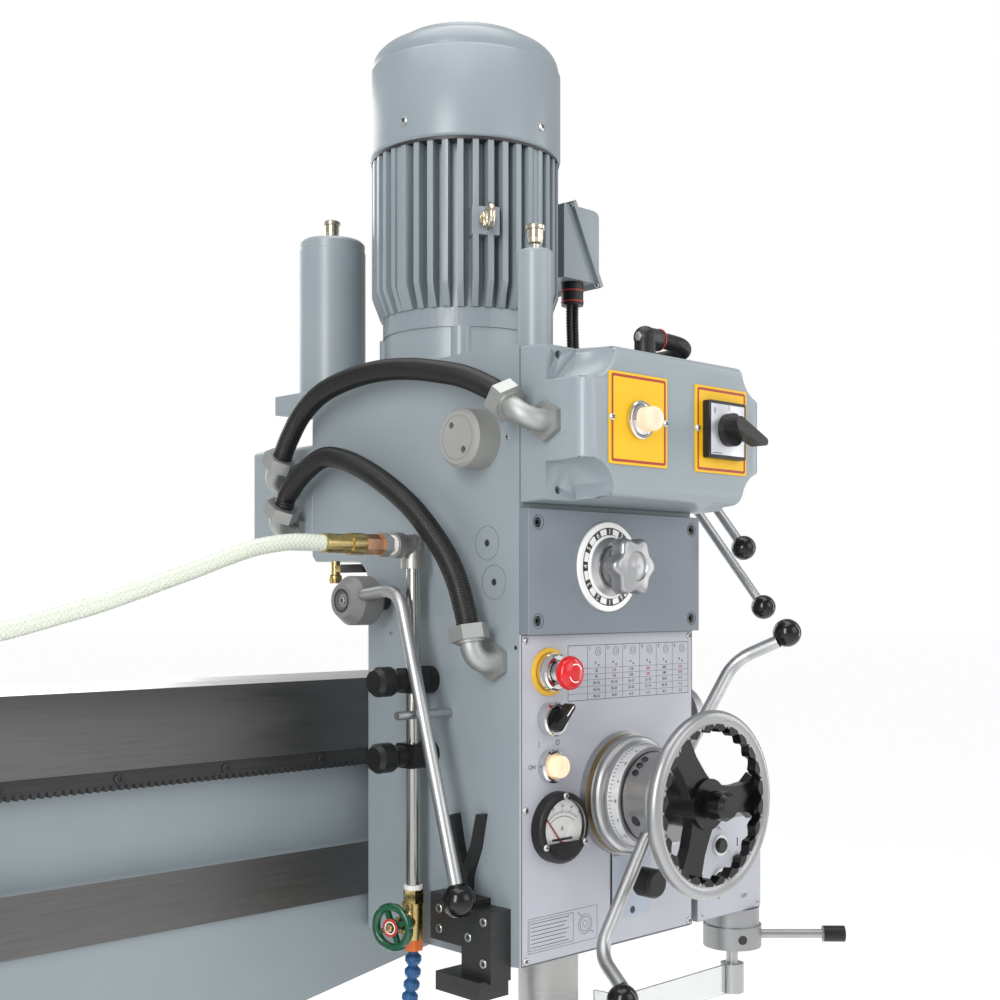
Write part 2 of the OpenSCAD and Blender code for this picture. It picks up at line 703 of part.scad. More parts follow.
// Terminal box with the slanting flange of its lid
module terminal_box() {
    w = terminal_w;
    d = terminal_d;
    h = terminal_z1 - terminal_z0;
    color(paint) translate([terminal_x, motor_y, terminal_z0]) {
        difference() {
            translate([-w / 2, d / 2, 0]) rotate([90, 0, 0]) linear_extrude(d) polygon(concat(
                [[0, 0], [w - 14, 0], [w, 10]], arc([w - 20, h - 20], 20, 0, 90), [[0, h]]));
            for (s = [0, 1]) translate([w / 2, (s - 0.5) * d, -1]) mirror([1, 0, 0]) mirror([0, s, 0])
                edge_cutter(12, h + 2);
        }
        translate([4, 0, h / 2]) rotate([0, -lid_tilt, 0]) translate([-3.5, -d / 2 - 6, -64])
            cube([7, d + 12, 128]);
        translate([-terminal_x + motor_x + motor_d / 2 + 2, -40, 7])
            cube([terminal_x - motor_x - motor_d / 2 - 2 - w / 2, 80, 90]);
    }
}

// Eye screwed into the pad on the motor frame
module lifting_eye() {
    color("#d9cfa0") translate([motor_x, motor_y, flange_z1 + 108]) rotate([0, 0, eye_turn]) {
        translate([motor_d / 2 - 18, 0, 0]) rotate([0, 90, 0]) cylinder(h = 26, r = 5);
        translate([motor_d / 2 + 1 + gap, 0, 0]) rotate([0, 90, 0]) cylinder(h = 5, r = 10);
        translate([motor_d / 2 + 20, 0, 0]) rotate([90, 0, 0]) rotate_extrude()
            translate([13, 0]) circle(r = 4.5, $fn = 24);
    }
}

// Oil tank behind the motor and the slim oil tube in front of it
module oil_reservoirs() {
    color(paint) {
        translate([tank_at[0], tank_at[1], tank_z0]) rotate_extrude() polygon(
            [[0, 0], [tank_d / 2, 0], [tank_d / 2, tank_z1 - tank_z0 - 16],
             [tank_d / 2 - 1, tank_z1 - tank_z0 - 15], [tank_d / 2 - 1, tank_z1 - tank_z0 - 4],
             [tank_d / 2 - 5, tank_z1 - tank_z0], [0, tank_z1 - tank_z0]]);
        translate([tube_at[0], tube_at[1], head_top]) rotate_extrude() polygon(concat(
            [[0, 0], [tube_d / 2, 0]], arc([tube_d / 2 - 5, tube_z1 - head_top - 5], 5, 0, 90),
            [[0, tube_z1 - head_top]]));
    }
}
// Brass breather caps on both reservoirs
module breathers() {
    color(brass) for (at = [[tank_at[0], tank_at[1], tank_z1], [tube_at[0], tube_at[1], tube_z1]])
        translate(at) rotate_extrude() polygon(
            [[0, 0], [5, 0], [5, 7], [9, 9], [10, 14], [10, 24], [12, 25], [12, 29], [9, 31], [0, 31]]);
}

// Corrugated leads of the motor and of the control box
module motor_conduits() {
    color(black) {
        ribbed_hose([for (p = motor_xz) [p[0], lead_y, p[1]]], motor_hose_d, ribs_motor, [0, 1, 0]);
        ribbed_hose(box_xyz, box_hose_d, ribs_box, [0, 0, 1]);
    }
}

// Two ribbed conduits along the left side
module side_conduits() {
    color(black) for (route = [upper_tz, lower_tz])
        ribbed_hose([for (p = route) [conduit_x, front_y + p[0], p[1]]], conduit_d, ribs_side, [1, 0, 0]);
}

// Elbows, nuts and connectors of every conduit
module conduit_fittings() {
    lead_foot = motor_xz[len(motor_xz) - 1][1];
    color(steel) {
        side_elbow(upper_tz[0], -46, 1846);
        side_elbow(lower_tz[0], 40, 1572);
        side_elbow(upper_tz[len(upper_tz) - 1], 449, 1800);
        side_elbow(lower_tz[len(lower_tz) - 1], 440, 1739);
    }
    color(black) {
        translate([lead_x, lead_y, motor_xz[0][1] + gap])
            cylinder(h = terminal_z0 - motor_xz[0][1] - gap, r = 16);
        translate([lead_x, lead_y, lead_z - 17]) cylinder(h = lead_foot - gap - lead_z + 17, r = 16);
        rod([head_x1, lead_y, lead_z], [lead_x, lead_y, lead_z], 13);
        rod([963, -415, box_z1], [963, -415, 1962], 13);
        translate([963, -415, 1962]) sphere(r = 14);
        rod([963, -415, 1962], box_xyz[0] - [gap, 0, 0], 13);
        rod([1076, -283, head_top], [1076, -283, 1957], 13);
        translate([1076, -283, 1957]) sphere(r = 14);
        rod([1076, -283, 1957], box_xyz[len(box_xyz) - 1] + [0, gap, 0], 13);
    }
}
// Elbow from a hole in the left side to the start of a conduit
module side_elbow(end, t, z) {
    reach = norm([end[0] - t, end[1] - z]) - gap;
    on_left(t, z) {
        cylinder(h = 9, r = 40 / sqrt(3), $fn = 6);
        rotate([0, 0, atan2(end[0] - t, end[1] - z)]) rotate([90, 0, 0]) {
            translate([0, conduit_u - elbow_r, 0]) rotate([90, 0, 0]) cylinder(h = conduit_u - elbow_r, r = 13);
            translate([elbow_r, conduit_u - elbow_r, 0]) rotate([0, 0, 90]) rotate_extrude(angle = 90)
                translate([elbow_r, 0]) circle(r = 13);
            translate([elbow_r, conduit_u, 0]) rotate([0, 90, 0]) cylinder(h = reach - elbow_r, r = 13);
            translate([reach - 17, conduit_u, 0]) rotate([0, 90, 0])
                cylinder(h = 17, r = 42 / sqrt(3), $fn = 6);
            translate([reach - 20, conduit_u, 0]) rotate([0, 90, 0]) cylinder(h = 4, r = 17);
        }
    }
}
// Junction box behind the head
module junction_box() {
    color(paint) translate([head_x + jbox_w / 2, head_over_y, (jbox_z[0] + jbox_z[1]) / 2])
        rotate([-90, 0, 0]) slab(jbox_w, jbox_z[1] - jbox_z[0], jbox_y1 - head_over_y, 8);
}

// Round cap with spanner holes and the lever's stop pin
module side_fittings() {
    color(steel) {
        on_left(cap_at[0], cap_at[1]) difference() {
            rotate_extrude() polygon([[0, 0], [35, 0], [35, 33], [31, 37], [0, 37]]);
            for (s = [-1, 1]) rotate([0, 0, 35]) translate([s * 18, 0, 28]) cylinder(h = 10, r = 4);
        }
        on_left(pin_at[0], pin_at[1]) cylinder(h = 84, r = 5);
    }
}

// Coolant standpipe with its iron elbow and collar
module coolant_pipe() {
    color(steel) {
        translate([head_x - pipe_u, front_y + pipe_t, pipe_z0]) cylinder(h = pipe_z1 - pipe_z0, r = pipe_r);
        translate([head_x - pipe_u, front_y + pipe_t, pipe_z1]) cylinder(h = 12, r = 15.5);
        translate([head_x - pipe_u, front_y + pipe_t, pipe_z1 + 11]) cylinder(h = elbow_z - pipe_z1 - 11, r = 13);
        translate([head_x - pipe_u, front_y + pipe_t, elbow_z]) sphere(r = 14);
        on_left(pipe_t, elbow_z, pipe_u) cylinder(h = 32, r = 13);
        on_left(pipe_t, elbow_z, pipe_u + 20) cylinder(h = 12, r = 15.5);
    }
}
// Brass fittings: hose ferrule and nut at the top, stop valve at the foot
module coolant_fittings() {
    foot = [head_x - pipe_u, front_y + pipe_t, 0];
    color(brass) {
        on_left(pipe_t, elbow_z, pipe_u + 32) cylinder(h = 8, r = 11);
        on_left(pipe_t, elbow_z, pipe_u + 40) cylinder(h = 13, r = 14.5, $fn = 6);
        on_left(pipe_t, elbow_z, pipe_u + 53) cylinder(h = 26, r = 12.2, $fn = 6);
        on_left(pipe_t, elbow_z, pipe_u + 79) cylinder(h = 20, r = 13);
        on_left(pipe_t, elbow_z, pipe_u + 99) cylinder(h = fitting_u - pipe_u - 99 - gap, r = 11.4);
        translate(foot + [0, 0, pipe_z0 - 16]) cylinder(h = 16, r = 13, $fn = 6);
        difference() {
            union() {
                translate(foot + [0, 0, pipe_z0 - 60]) cylinder(h = 44, r = 14);
                at_valve(0) cylinder(h = 30, r = 10);
            }
            at_valve(10) cylinder(h = 30, r = 4 + run);
        }
        translate(foot + [0, 0, pipe_z0 - 74]) cylinder(h = 14, r = 12, $fn = 6);
    }
}
// Two clamps that hold the standpipe off the head, with their round knobs
module pipe_clamps() {
    color(black) for (z = clamp_z) {
        difference() {
            union() {
                on_left(pipe_t, z) cylinder(h = 62, r = 13);
                on_left(pipe_t, z) cylinder(h = 12, r = 17);
                on_left(pipe_t, z, pipe_u - 14) slab(30, 36, 28, 6);
            }
            translate([head_x - pipe_u, front_y + pipe_t, z - 30]) cylinder(h = 60, r = pipe_r + run);
        }
        on_left(pipe_t, z, 62) rotate_extrude()
            polygon([[0, 0], [16, 0], [18, 4], [18, 22], [14, 28], [0, 28]]);
    }
}
// Handwheel of the coolant valve, on an axis turned a little to the front
module at_valve(out) {
    translate([head_x - pipe_u, front_y + pipe_t, pipe_z0 - 38]) rotate([0, 0, valve_turn])
        rotate([0, -90, 0]) translate([0, 0, out]) children();
}
module valve_wheel() {
    color("#1c6b3a") at_valve(38) {
        difference() {
            rotate_extrude() translate([24, 5]) circle(r = 5, $fn = 24);
            for (k = [0:7]) rotate([0, 0, 45 * k]) translate([31.5, 0, -2]) cylinder(h = 14, r = 4.5);
        }
        for (k = [0:3]) rotate([0, 0, 90 * k + 22.5]) translate([0, -3, 2.5]) cube([23, 6, 5]);
        cylinder(h = 10, r = 8);
    }
    color(steel) at_valve(11) cylinder(h = 30, r = 4);
}
// Segmented nozzle: a chain of cups that narrows to an outlet
module coolant_nozzle() {
    top = [head_x - pipe_u, front_y + pipe_t, pipe_z0 - 76];
    color("#1f63a8") for (k = [0:6]) translate(top + [-0.45 * k * k, 0, -16 * k + 0.25 * k * k])
        rotate([0, 3 * k, 0]) translate([0, 0, -15]) rotate_extrude()
            polygon([[0, 0], [8, 0], [10, 4], [10, 9], [6, 13], [6, 17], [0, 17]]);
}

// Feed trip block low on the left side, with its foot and cam lever
module trip_block() {
    cam = [[1288, 78], [1288, 94], [1330, 100], [1384, 112], [1388, 101], [1345, 91], [1330, 83],
           [1354, 71], [1392, 61], [1392, 53], [1350, 62], [1316, 76]];
    color(black) {
        translate([head_x - 32, front_y + 14, 1204]) cube([32, 50, 82]);
        translate([head_x - 28, front_y + 48, 1238]) cube([28, 76, 56]);
        translate([head_x - 46, front_y + 18, 1186]) cube([46, 76, 22]);
        on_left(0, 0) linear_extrude(12) polygon(cam);
    }
}

// Coolant hose that hangs from the head to the arm barrel
module coolant_hose() {
    color("#dfe8de") tube(hose_route, hose_d / 2, 10, [0, 0, 1]);
}

// Six-lobed speed knob
module speed_knob() {
    lobes = 6;
    outline = [for (i = [0:71]) let (a = 5 * i) (33 + 4 * cos(lobes * a)) * [cos(a), sin(a)]];
    color(steel) on_front(dial_at) {
        translate([0, 0, -26]) cylinder(h = plate_f + 7 + 26 + gap, r = 9);
        translate([0, 0, plate_f + 7 + gap]) cylinder(h = 18, r = 25);
        translate([0, 0, plate_f + 24 + gap]) linear_extrude(24) polygon(outline);
        translate([0, 0, plate_f + 48 + gap]) cylinder(h = 2, r = 18);
    }
}

// Mushroom emergency button on its neck
module estop_button() {
    color("#c4161c") on_front(estop_at, panel_t) rotate_extrude() polygon(concat(
        [[0, 7], [12, 7], [12, 24], [17, 26], [20, 30]], arc([14, 38], 6, 0, 60), [[8, 45], [0, 46]]));
}
// Coolant selector with a black grip
module coolant_selector() {
    color(black) on_front(selector_at, panel_t) {
        translate([0, 0, 0.4]) cylinder(h = 13, r = 13);
        rotate([0, 0, 45]) translate([0, 0, 12.4]) linear_extrude(13)
            polygon(concat(arc([20, 0], 4, -90, 90), arc([-10, 0], 6, 90, 270)));
    }
}
// Illuminated start button
module start_button() {
    color("#fff1d0") on_front(start_at, panel_t) rotate_extrude()
        polygon(concat([[0, 4.4], [13, 4.4], [13, 16]], arc([8, 16], 5, 0, 90), [[0, 21]]));
}
// Main switch handle
module main_switch() {
    color(black) on_front(switch_at, box_f) {
        translate([0, 0, 2 + gap]) cylinder(h = 10, r = 8);
        translate([0, 0, 11 + gap]) cylinder(h = 10, r = 20);
        rotate([0, 0, -20]) translate([0, 0, 20 + gap]) linear_extrude(21)
            polygon(concat(arc([38, 0], 5, -80, 80), arc([-14, 0], 9, 100, 260)));
    }
}

// Feed hub: brass ring, silver ring, graduated dial and the lever boss
module feed_hub() {
    color(steel) on_front([hub_x - head_x, hub_z], 12 + gap) difference() {
        rotate_extrude() polygon(concat([[0, 0], [73, 0], [73, 6], [70, 6]], arc([66, 12], 6, 0, 90),
            [[66, 23], [62.5, 23], [60, 38], [54, 38], [54, 74], [50, 78], [0, 78]]));
        translate([0, 0, -1]) cylinder(h = 49, r = feed_shaft_r);
        cylinder(h = 100, r = feed_bore_r);
        for (k = [0, 1]) rotate([0, 0, lever_turn + 180 * k]) translate([0, 44, 58]) rotate([-90, 0, 0])
            cylinder(h = 12, r = 8);
    }
}
// Hollow feed shaft with the quill pinion
module feed_shaft() {
    color(steel) difference() {
        union() {
            translate([hub_x, front_y - 59 - gap, hub_z]) rotate([-90, 0, 0])
                cylinder(h = pinion_y1 + 45 - front_y + 59, r = feed_shaft_r);
            translate([hub_x, pinion_y1, hub_z]) rotate([90, 0, 0]) linear_extrude(pinion_y1 - pinion_y0)
                rotate(180) polygon(gear_outline(feed_module, 16));
        }
        translate([hub_x, front_y - 100, hub_z]) rotate([-90, 0, 0]) cylinder(h = 300, r = feed_bore_r);
    }
}
// Two feed levers with ball knobs, opposite each other
module feed_levers() {
    bend = [0, 205, 80];
    tip = [0, lever_reach, 140];
    for (k = [0, 1]) on_front([hub_x - head_x, hub_z]) rotate([0, 0, lever_turn + 180 * k]) {
        color(steel) {
            rod([0, 44, 70 + gap], bend, 8);
            translate(bend) sphere(r = 8.6);
            rod(bend, tip - 14 * unit(tip - bend), 8);
        }
        color(black) translate(tip) sphere(r = 17.5);
    }
}

// Handwheel: round rim, three flat spokes and finger waves inside the rim
module handwheel() {
    rim_r = wheel_d / 2 - 9;
    spoke = [[0, -24], [34, -18], [58, -16], [rim_r - 22, -18], [rim_r - 8, -28],
             [rim_r - 8, 28], [rim_r - 22, 18], [58, 16], [34, 18], [0, 24]];
    wave = [for (i = [0:107]) let (a = i * 360 / 108) (rim_r - 13 + 3.5 * cos(24 * a)) * [cos(a), sin(a)]];
    on_front([hub_x - head_x, hub_z]) {
        color("#c3c6c8") translate([0, 0, 141]) rotate_extrude() translate([rim_r, 0]) circle(r = 9, $fn = 32);
        color(black) difference() {
            union() {
                translate([0, 0, 135]) linear_extrude(12) difference() {
                    circle(r = rim_r - 5);
                    polygon(wave);
                }
                for (a = wheel_spokes) rotate([0, 0, a]) translate([0, 0, 122])
                    linear_extrude(14) polygon(spoke);
                translate([0, 0, 96]) cylinder(h = 44, r = 30);
            }
            translate([0, 0, 90]) cylinder(h = 40, r = traverse_shaft_r);
        }
        color(black) translate([0, 0, 140]) rotate_extrude()
            polygon([[0, 0], [15, 0], [17, 6], [17, 24], [13, 30], [0, 30]]);
    }
}
// Traverse shaft through the feed shaft, with the pinion that runs on the arm rack
module traverse_shaft() {
    pinion_w = 20;
    color(steel) {
        translate([hub_x, front_y - 130, hub_z]) rotate([-90, 0, 0])
            cylinder(h = web_y - 4 - front_y + 130, r = traverse_shaft_r);
        translate([hub_x, web_y - 4, hub_z]) rotate([90, 0, 0]) linear_extrude(pinion_w)
            rotate(90) polygon(gear_outline(traverse_module, 18));
    }
}

// Quill with the rack cut along its right side
module quill() {
    flat_x = feed_rack_x - spindle_x;
    teeth_z0 = hub_z - 14;
    edge = rack_edge(feed_module, teeth_z0 - hub_z, quill_z1 - 4 - hub_z);
    color(steel) translate([spindle_x, spindle_y, 0]) difference() {
        translate([0, 0, quill_z0]) cylinder(h = quill_z1 - quill_z0, r = quill_r);
        translate([0, 0, quill_z0 - 1]) cylinder(h = quill_z1, r = spindle_r + run);
        translate([flat_x, 24, hub_z]) rotate([90, 0, 0]) linear_extrude(48) rotate(90) polygon(concat(
            [[teeth_z0 - hub_z, -20], [teeth_z0 - hub_z, -addendum * feed_module]],
            edge, [[quill_z1 + 1 - hub_z, -addendum * feed_module], [quill_z1 + 1 - hub_z, -20]]));
    }
}
// Spindle with nose, taper socket and splined tail
module spindle() {
    color(steel) translate([spindle_x, spindle_y, 0]) difference() {
        union() {
            translate([0, 0, nose_z0]) cylinder(h = quill_z0 - gap - nose_z0, r = nose_r);
            translate([0, 0, nose_z0]) cylinder(h = quill_z1 - nose_z0, r = spindle_r);
            translate([0, 0, quill_z1]) cylinder(h = spindle_z1 - quill_z1, r = spline_r);
        }
        translate([0, 0, nose_z0 - 0.01]) cylinder(h = 103, r1 = socket_d / 2, r2 = socket_d / 2 - 2.68);
    }
}

// Clutch lever on the left side: hub, bent rod and ball knob
module clutch_lever() {
    y = [front_y + lever_bend[0], front_y + lever_ball[0]];
    x = head_x - lever_u;
    bend = [x, y[0], lever_bend[1]];
    tip = [x, y[1], lever_ball[1]];
    color(steel) {
        on_left(lever_t, lever_z, -58) cylinder(h = 80, r = 12);
        on_left(lever_t, lever_z, 20) rotate_extrude()
            polygon([[0, 0], [24, 0], [31, 8], [31, 36], [21, 50], [11.5, 50], [11.5, 46], [0, 46]]);
        rod([x, front_y + lever_t - 18, lever_z + 6], bend, 8);
        translate(bend) sphere(r = 8.6);
        rod(bend, tip - 17 * unit(tip - bend), 8);
    }
    color(black) translate(tip) sphere(r = 20);
}

// Shift lever on the right side: hub, shaft, slanting rod and ball knob
module shift_lever(hub, ball, out) {
    p = [head_x1 + out, front_y + hub[0], hub[1]];
    q = [head_x1 + out, front_y + ball[0], ball[1]];
    color(steel) {
        on_right(hub[0], hub[1], -28) cylinder(h = 28 + out, r = 9);
        on_right(hub[0], hub[1], 4) cylinder(h = out + 8, r = 17);
        rod(p, q - 12 * unit(q - p), 6);
    }
    color(black) translate(q) sphere(r = 16);
}
module shift_lever_front() {
    shift_lever(shift_hub_front, [-40, 1712], 62);
}
module shift_lever_rear() {
    shift_lever(shift_hub_rear, [-50, 1634], 92);
}

// Round feed selector on the right side
module feed_selector() {
    color(black) {
        on_right(selector_hub[0], selector_hub[1], gap) cylinder(h = 20, r = 48);
        on_right(selector_hub[0], selector_hub[1], -28) cylinder(h = 30, r = 9);
    }
    color(steel) on_right(selector_hub[0], selector_hub[1], 20 + gap) rotate_extrude()
        polygon([[0, 0], [46, 0], [44, 20], [36, 26], [0, 26]]);
}

// Push buttons and the mode switch of the button box
module push_button(at) {
    on_front(at, -8) {
        cylinder(h = 15, r = 10);
        translate([0, 0, 15]) cylinder(h = 2, r1 = 10, r2 = 8.5);
    }
}
module up_button() {
    color(black) push_button(up_at);
}
module down_button() {
    color(black) push_button(down_at);
}
module mode_switch() {
    color(black) on_front(mode_at, -8) {
        cylinder(h = 15, r = 10);
        translate([0, 0, 15]) linear_extrude(10) polygon(round_rect(8, 24, 3));
    }
}

// Knob that sets the feed trip
module feed_trip_knob() {
    color(steel) on_front(trip_knob_at, panel_t + 1.5 + gap) cylinder(h = 14, r = 6);
    color(black) on_front(trip_knob_at, panel_t + 15 + gap) rotate_extrude()
        polygon([[0, 0], [14, 0], [18, 4], [18, 26], [15, 30], [0, 30]]);
}

// Turning ring under the button box with its tommy bar
module direction_ring() {
    color(steel) difference() {
        translate([ring_x, ring_y, 0]) union() {
            translate([0, 0, 1195]) cylinder(h = bbox_z0 - gap - 1195, r = 37);
            translate([0, 0, ring_z0]) cylinder(h = 30, r = 40);
            rod([17, -17, 1180], [92, -88, 1180], 6);
        }
        translate([ring_x, ring_y, ring_z0 - 1]) cylinder(h = 80, r = 8 + run);
    }
    color(black) translate([ring_x, ring_y, 0]) rod([91, -87, 1180], [112, -108, 1180], 11);
}

// Swinging chip guard: post, arm and curved clear shield round the spindle
module chip_guard() {
    arm_z = 1120;
    arm_y = ring_y;
    color(steel) {
        translate([ring_x, ring_y, arm_z - 20]) cylinder(h = bbox_z0 + 26 - arm_z + 20, r = 8);
        translate([ring_x, ring_y, arm_z - 20]) cylinder(h = 40, r = 16);
    }
    color("#d7dde0") translate([spindle_x, spindle_y, 0]) difference() {
        translate([0, 0, arm_z - 130]) cylinder(h = 140, r = guard_r);
        translate([0, 0, arm_z - 131]) cylinder(h = 142, r = guard_r - 4);
        translate([-200, 26, arm_z - 140]) cube([400, 200, 160]);
    }
    color("#d7dde0") translate([spindle_x + guard_r - 12, arm_y - 2, arm_z - 20])
        cube([ring_x - spindle_x - guard_r - 2, 4, 40]);
}

base_plate();
column_post();
column_sleeve();
lift_drive();
lift_screw();
arm_casting();
arm_rack();
hose_port();
head_casting();
saddle_keepers();
control_panel();
speed_plate();
control_box();
switch_plates();
power_lamp();
panel_rings();
ammeter();
button_box();
motor_adapter();
motor_frame();
fan_cover();
terminal_box();
lifting_eye();
oil_reservoirs();
breathers();
motor_conduits();
side_conduits();
conduit_fittings();
junction_box();
side_fittings();
coolant_pipe();
coolant_fittings();
pipe_clamps();
coolant_nozzle();
trip_block();
coolant_hose();
ammeter_needle();
speed_knob();
estop_button();
coolant_selector();
start_button();
main_switch();
feed_hub();
feed_shaft();
feed_levers();
handwheel();
traverse_shaft();
quill();
spindle();
clutch_lever();
shift_lever_front();
shift_lever_rear();
feed_selector();
up_button();
down_button();
mode_switch();
valve_wheel();
feed_trip_knob();
direction_ring();
chip_guard();
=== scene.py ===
"""Looks of a radial arm drill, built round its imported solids, in metres."""

import json
import math

import bmesh
import bpy
from mathutils import Matrix, Vector

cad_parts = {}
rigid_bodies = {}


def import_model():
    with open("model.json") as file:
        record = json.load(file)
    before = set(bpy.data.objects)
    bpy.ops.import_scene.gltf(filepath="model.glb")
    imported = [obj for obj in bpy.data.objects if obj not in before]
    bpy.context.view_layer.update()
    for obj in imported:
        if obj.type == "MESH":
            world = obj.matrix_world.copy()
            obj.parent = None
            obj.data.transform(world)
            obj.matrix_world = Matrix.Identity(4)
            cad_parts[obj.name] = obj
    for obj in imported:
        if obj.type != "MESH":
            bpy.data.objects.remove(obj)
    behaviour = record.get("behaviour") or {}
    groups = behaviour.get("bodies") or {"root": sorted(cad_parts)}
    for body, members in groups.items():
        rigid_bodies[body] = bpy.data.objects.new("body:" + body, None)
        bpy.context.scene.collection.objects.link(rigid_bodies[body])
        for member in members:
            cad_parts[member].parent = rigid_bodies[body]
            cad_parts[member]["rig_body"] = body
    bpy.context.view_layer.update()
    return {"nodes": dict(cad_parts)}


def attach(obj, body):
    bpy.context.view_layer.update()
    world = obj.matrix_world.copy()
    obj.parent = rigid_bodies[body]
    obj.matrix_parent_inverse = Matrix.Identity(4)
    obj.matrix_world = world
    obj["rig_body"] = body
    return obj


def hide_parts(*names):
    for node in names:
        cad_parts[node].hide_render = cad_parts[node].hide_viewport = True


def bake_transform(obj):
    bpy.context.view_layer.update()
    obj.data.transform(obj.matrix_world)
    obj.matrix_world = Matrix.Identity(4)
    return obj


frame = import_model()
nodes = frame["nodes"]

# Planes of the head, and how far each plate stands off its front
HEAD_LEFT = 0.794
HEAD_RIGHT = 1.106
HEAD_FRONT = -0.370
PANEL = 0.003
PLATE = 0.015
BUTTON_PLATE = 0.0006
BOX_FRONT = 0.105
SWITCH_PLATE = BOX_FRONT + 0.002

# Centres on the front, from the head's left side and the floor
HUB = (0.174, 1.406)
AMMETER = (0.058, 1.377)
DIAL = (0.134, 1.684)
ESTOP = (0.045, 1.560)
SELECTOR = (0.046, 1.505)
START = (0.047, 1.450)
LAMP = (0.086, 1.849)
MAIN_SWITCH = (0.239, 1.849)

# Other centres: clutch on the left side, coolant valve, motor axis
CLUTCH = (0.245, 1.643)
VALVE = Vector((0.766, -0.214, 1.254))
VALVE_STEM = Vector((-0.9659, -0.2588, 0))
MOTOR = (0.950, -0.105)

# Height of print above its face, and depth of the finest relief
PRINT = 0.00016
RELIEF = 0.0005


# Shader effects shared by several finishes

EFFECT_INPUTS = (
    ("Vector", "NodeSocketVector", None),
    ("Colour", "NodeSocketColor", (0.5, 0.5, 0.5, 1.0)),
    ("Tint", "NodeSocketColor", (0.4, 0.4, 0.4, 1.0)),
    ("Roughness", "NodeSocketFloat", 0.4),
    ("Scale", "NodeSocketFloat", 100.0),
    ("Amount", "NodeSocketFloat", 0.3),
)
EFFECT_OUTPUTS = (
    ("Colour", "NodeSocketColor"),
    ("Roughness", "NodeSocketFloat"),
    ("Height", "NodeSocketFloat"),
)


def feed_socket(tree, value, socket):
    """A plain number on a socket, or a link to it."""
    if isinstance(value, float):
        socket.default_value = value
    else:
        tree.links.new(value, socket)


def noise_node(tree, vector, scale, detail):
    node = tree.nodes.new("ShaderNodeTexNoise")
    node.inputs["Detail"].default_value = detail
    tree.links.new(vector, node.inputs["Vector"])
    feed_socket(tree, scale, node.inputs["Scale"])
    return node.outputs["Fac"]


def math_node(tree, operation, first, second):
    node = tree.nodes.new("ShaderNodeMath")
    node.operation = operation
    feed_socket(tree, first, node.inputs[0])
    feed_socket(tree, second, node.inputs[1])
    return node.outputs[0]


def ramp_node(tree, value, low, high):
    node = tree.nodes.new("ShaderNodeMapRange")
    node.interpolation_type = "SMOOTHSTEP"
    node.inputs["From Min"].default_value = low
    node.inputs["From Max"].default_value = high
    tree.links.new(value, node.inputs["Value"])
    return node.outputs["Result"]


def mix_node(tree, factor, first, second):
    node = tree.nodes.new("ShaderNodeMix")
    node.data_type = "RGBA"
    tree.links.new(factor, node.inputs["Factor"])
    tree.links.new(first, node.inputs[6])
    tree.links.new(second, node.inputs[7])
    return node.outputs[2]


def effect(name):
    """Empty node group with the sockets that every effect has, and its inputs."""
    tree = bpy.data.node_groups.new(name, "ShaderNodeTree")
    for label, kind, value in EFFECT_INPUTS:
        socket = tree.interface.new_socket(label, in_out="INPUT", socket_type=kind)
        if value is not None:
            socket.default_value = value
    for label, kind in EFFECT_OUTPUTS:
        tree.interface.new_socket(label, in_out="OUTPUT", socket_type=kind)
    return tree, tree.nodes.new("NodeGroupInput").outputs


def close_effect(tree, inputs, mask, wander, width, height):
    """Outputs of an effect: tint by the mask, roughness that wanders by width in all, and the height."""
    amount = math_node(tree, "MULTIPLY", mask, inputs["Amount"])
    centred = math_node(tree, "SUBTRACT", wander, 0.5)
    roughness = math_node(tree, "ADD", math_node(tree, "MULTIPLY", centred, width), inputs["Roughness"])
    sink = tree.nodes.new("NodeGroupOutput").inputs
    tree.links.new(mix_node(tree, amount, inputs["Colour"], inputs["Tint"]), sink["Colour"])
    tree.links.new(roughness, sink["Roughness"])
    tree.links.new(height, sink["Height"])
    return tree


def paint_effect():
    """Orange peel of sprayed enamel with faint cloudy patches."""
    tree, inputs = effect("enamel_peel")
    cloud = noise_node(tree, inputs["Vector"], 5.0, 3.0)
    peel = noise_node(tree, inputs["Vector"], inputs["Scale"], 2.0)
    return close_effect(tree, inputs, ramp_node(tree, cloud, 0.35, 0.75), cloud, 0.10, peel)


def grain_effect():
    """Fine lines of ground or drawn metal: the mapping in front stretches them."""
    tree, inputs = effect("drawn_grain")
    line = noise_node(tree, inputs["Vector"], inputs["Scale"], 4.0)
    patch = noise_node(tree, inputs["Vector"], 9.0, 2.0)
    shares = [math_node(tree, "MULTIPLY", noise, share) for noise, share in ((line, 0.6), (patch, 0.4))]
    both = math_node(tree, "ADD", *shares)
    return close_effect(tree, inputs, ramp_node(tree, both, 0.3, 0.7), line, 0.3, line)


def speckle_effect():
    """Small flecks in a metallic lacquer."""
    tree, inputs = effect("lacquer_fleck")
    fleck = noise_node(tree, inputs["Vector"], inputs["Scale"], 1.0)
    cloud = noise_node(tree, inputs["Vector"], 4.0, 2.0)
    return close_effect(tree, inputs, ramp_node(tree, fleck, 0.42, 0.62), cloud, 0.12, fleck)


def moulded_effect():
    """Matt moulding grain with handled, smoother patches."""
    tree, inputs = effect("moulded_grain")
    grain = noise_node(tree, inputs["Vector"], inputs["Scale"], 3.0)
    smear = noise_node(tree, inputs["Vector"], 18.0, 3.0)
    return close_effect(tree, inputs, ramp_node(tree, smear, 0.45, 0.7), smear, 0.25, grain)


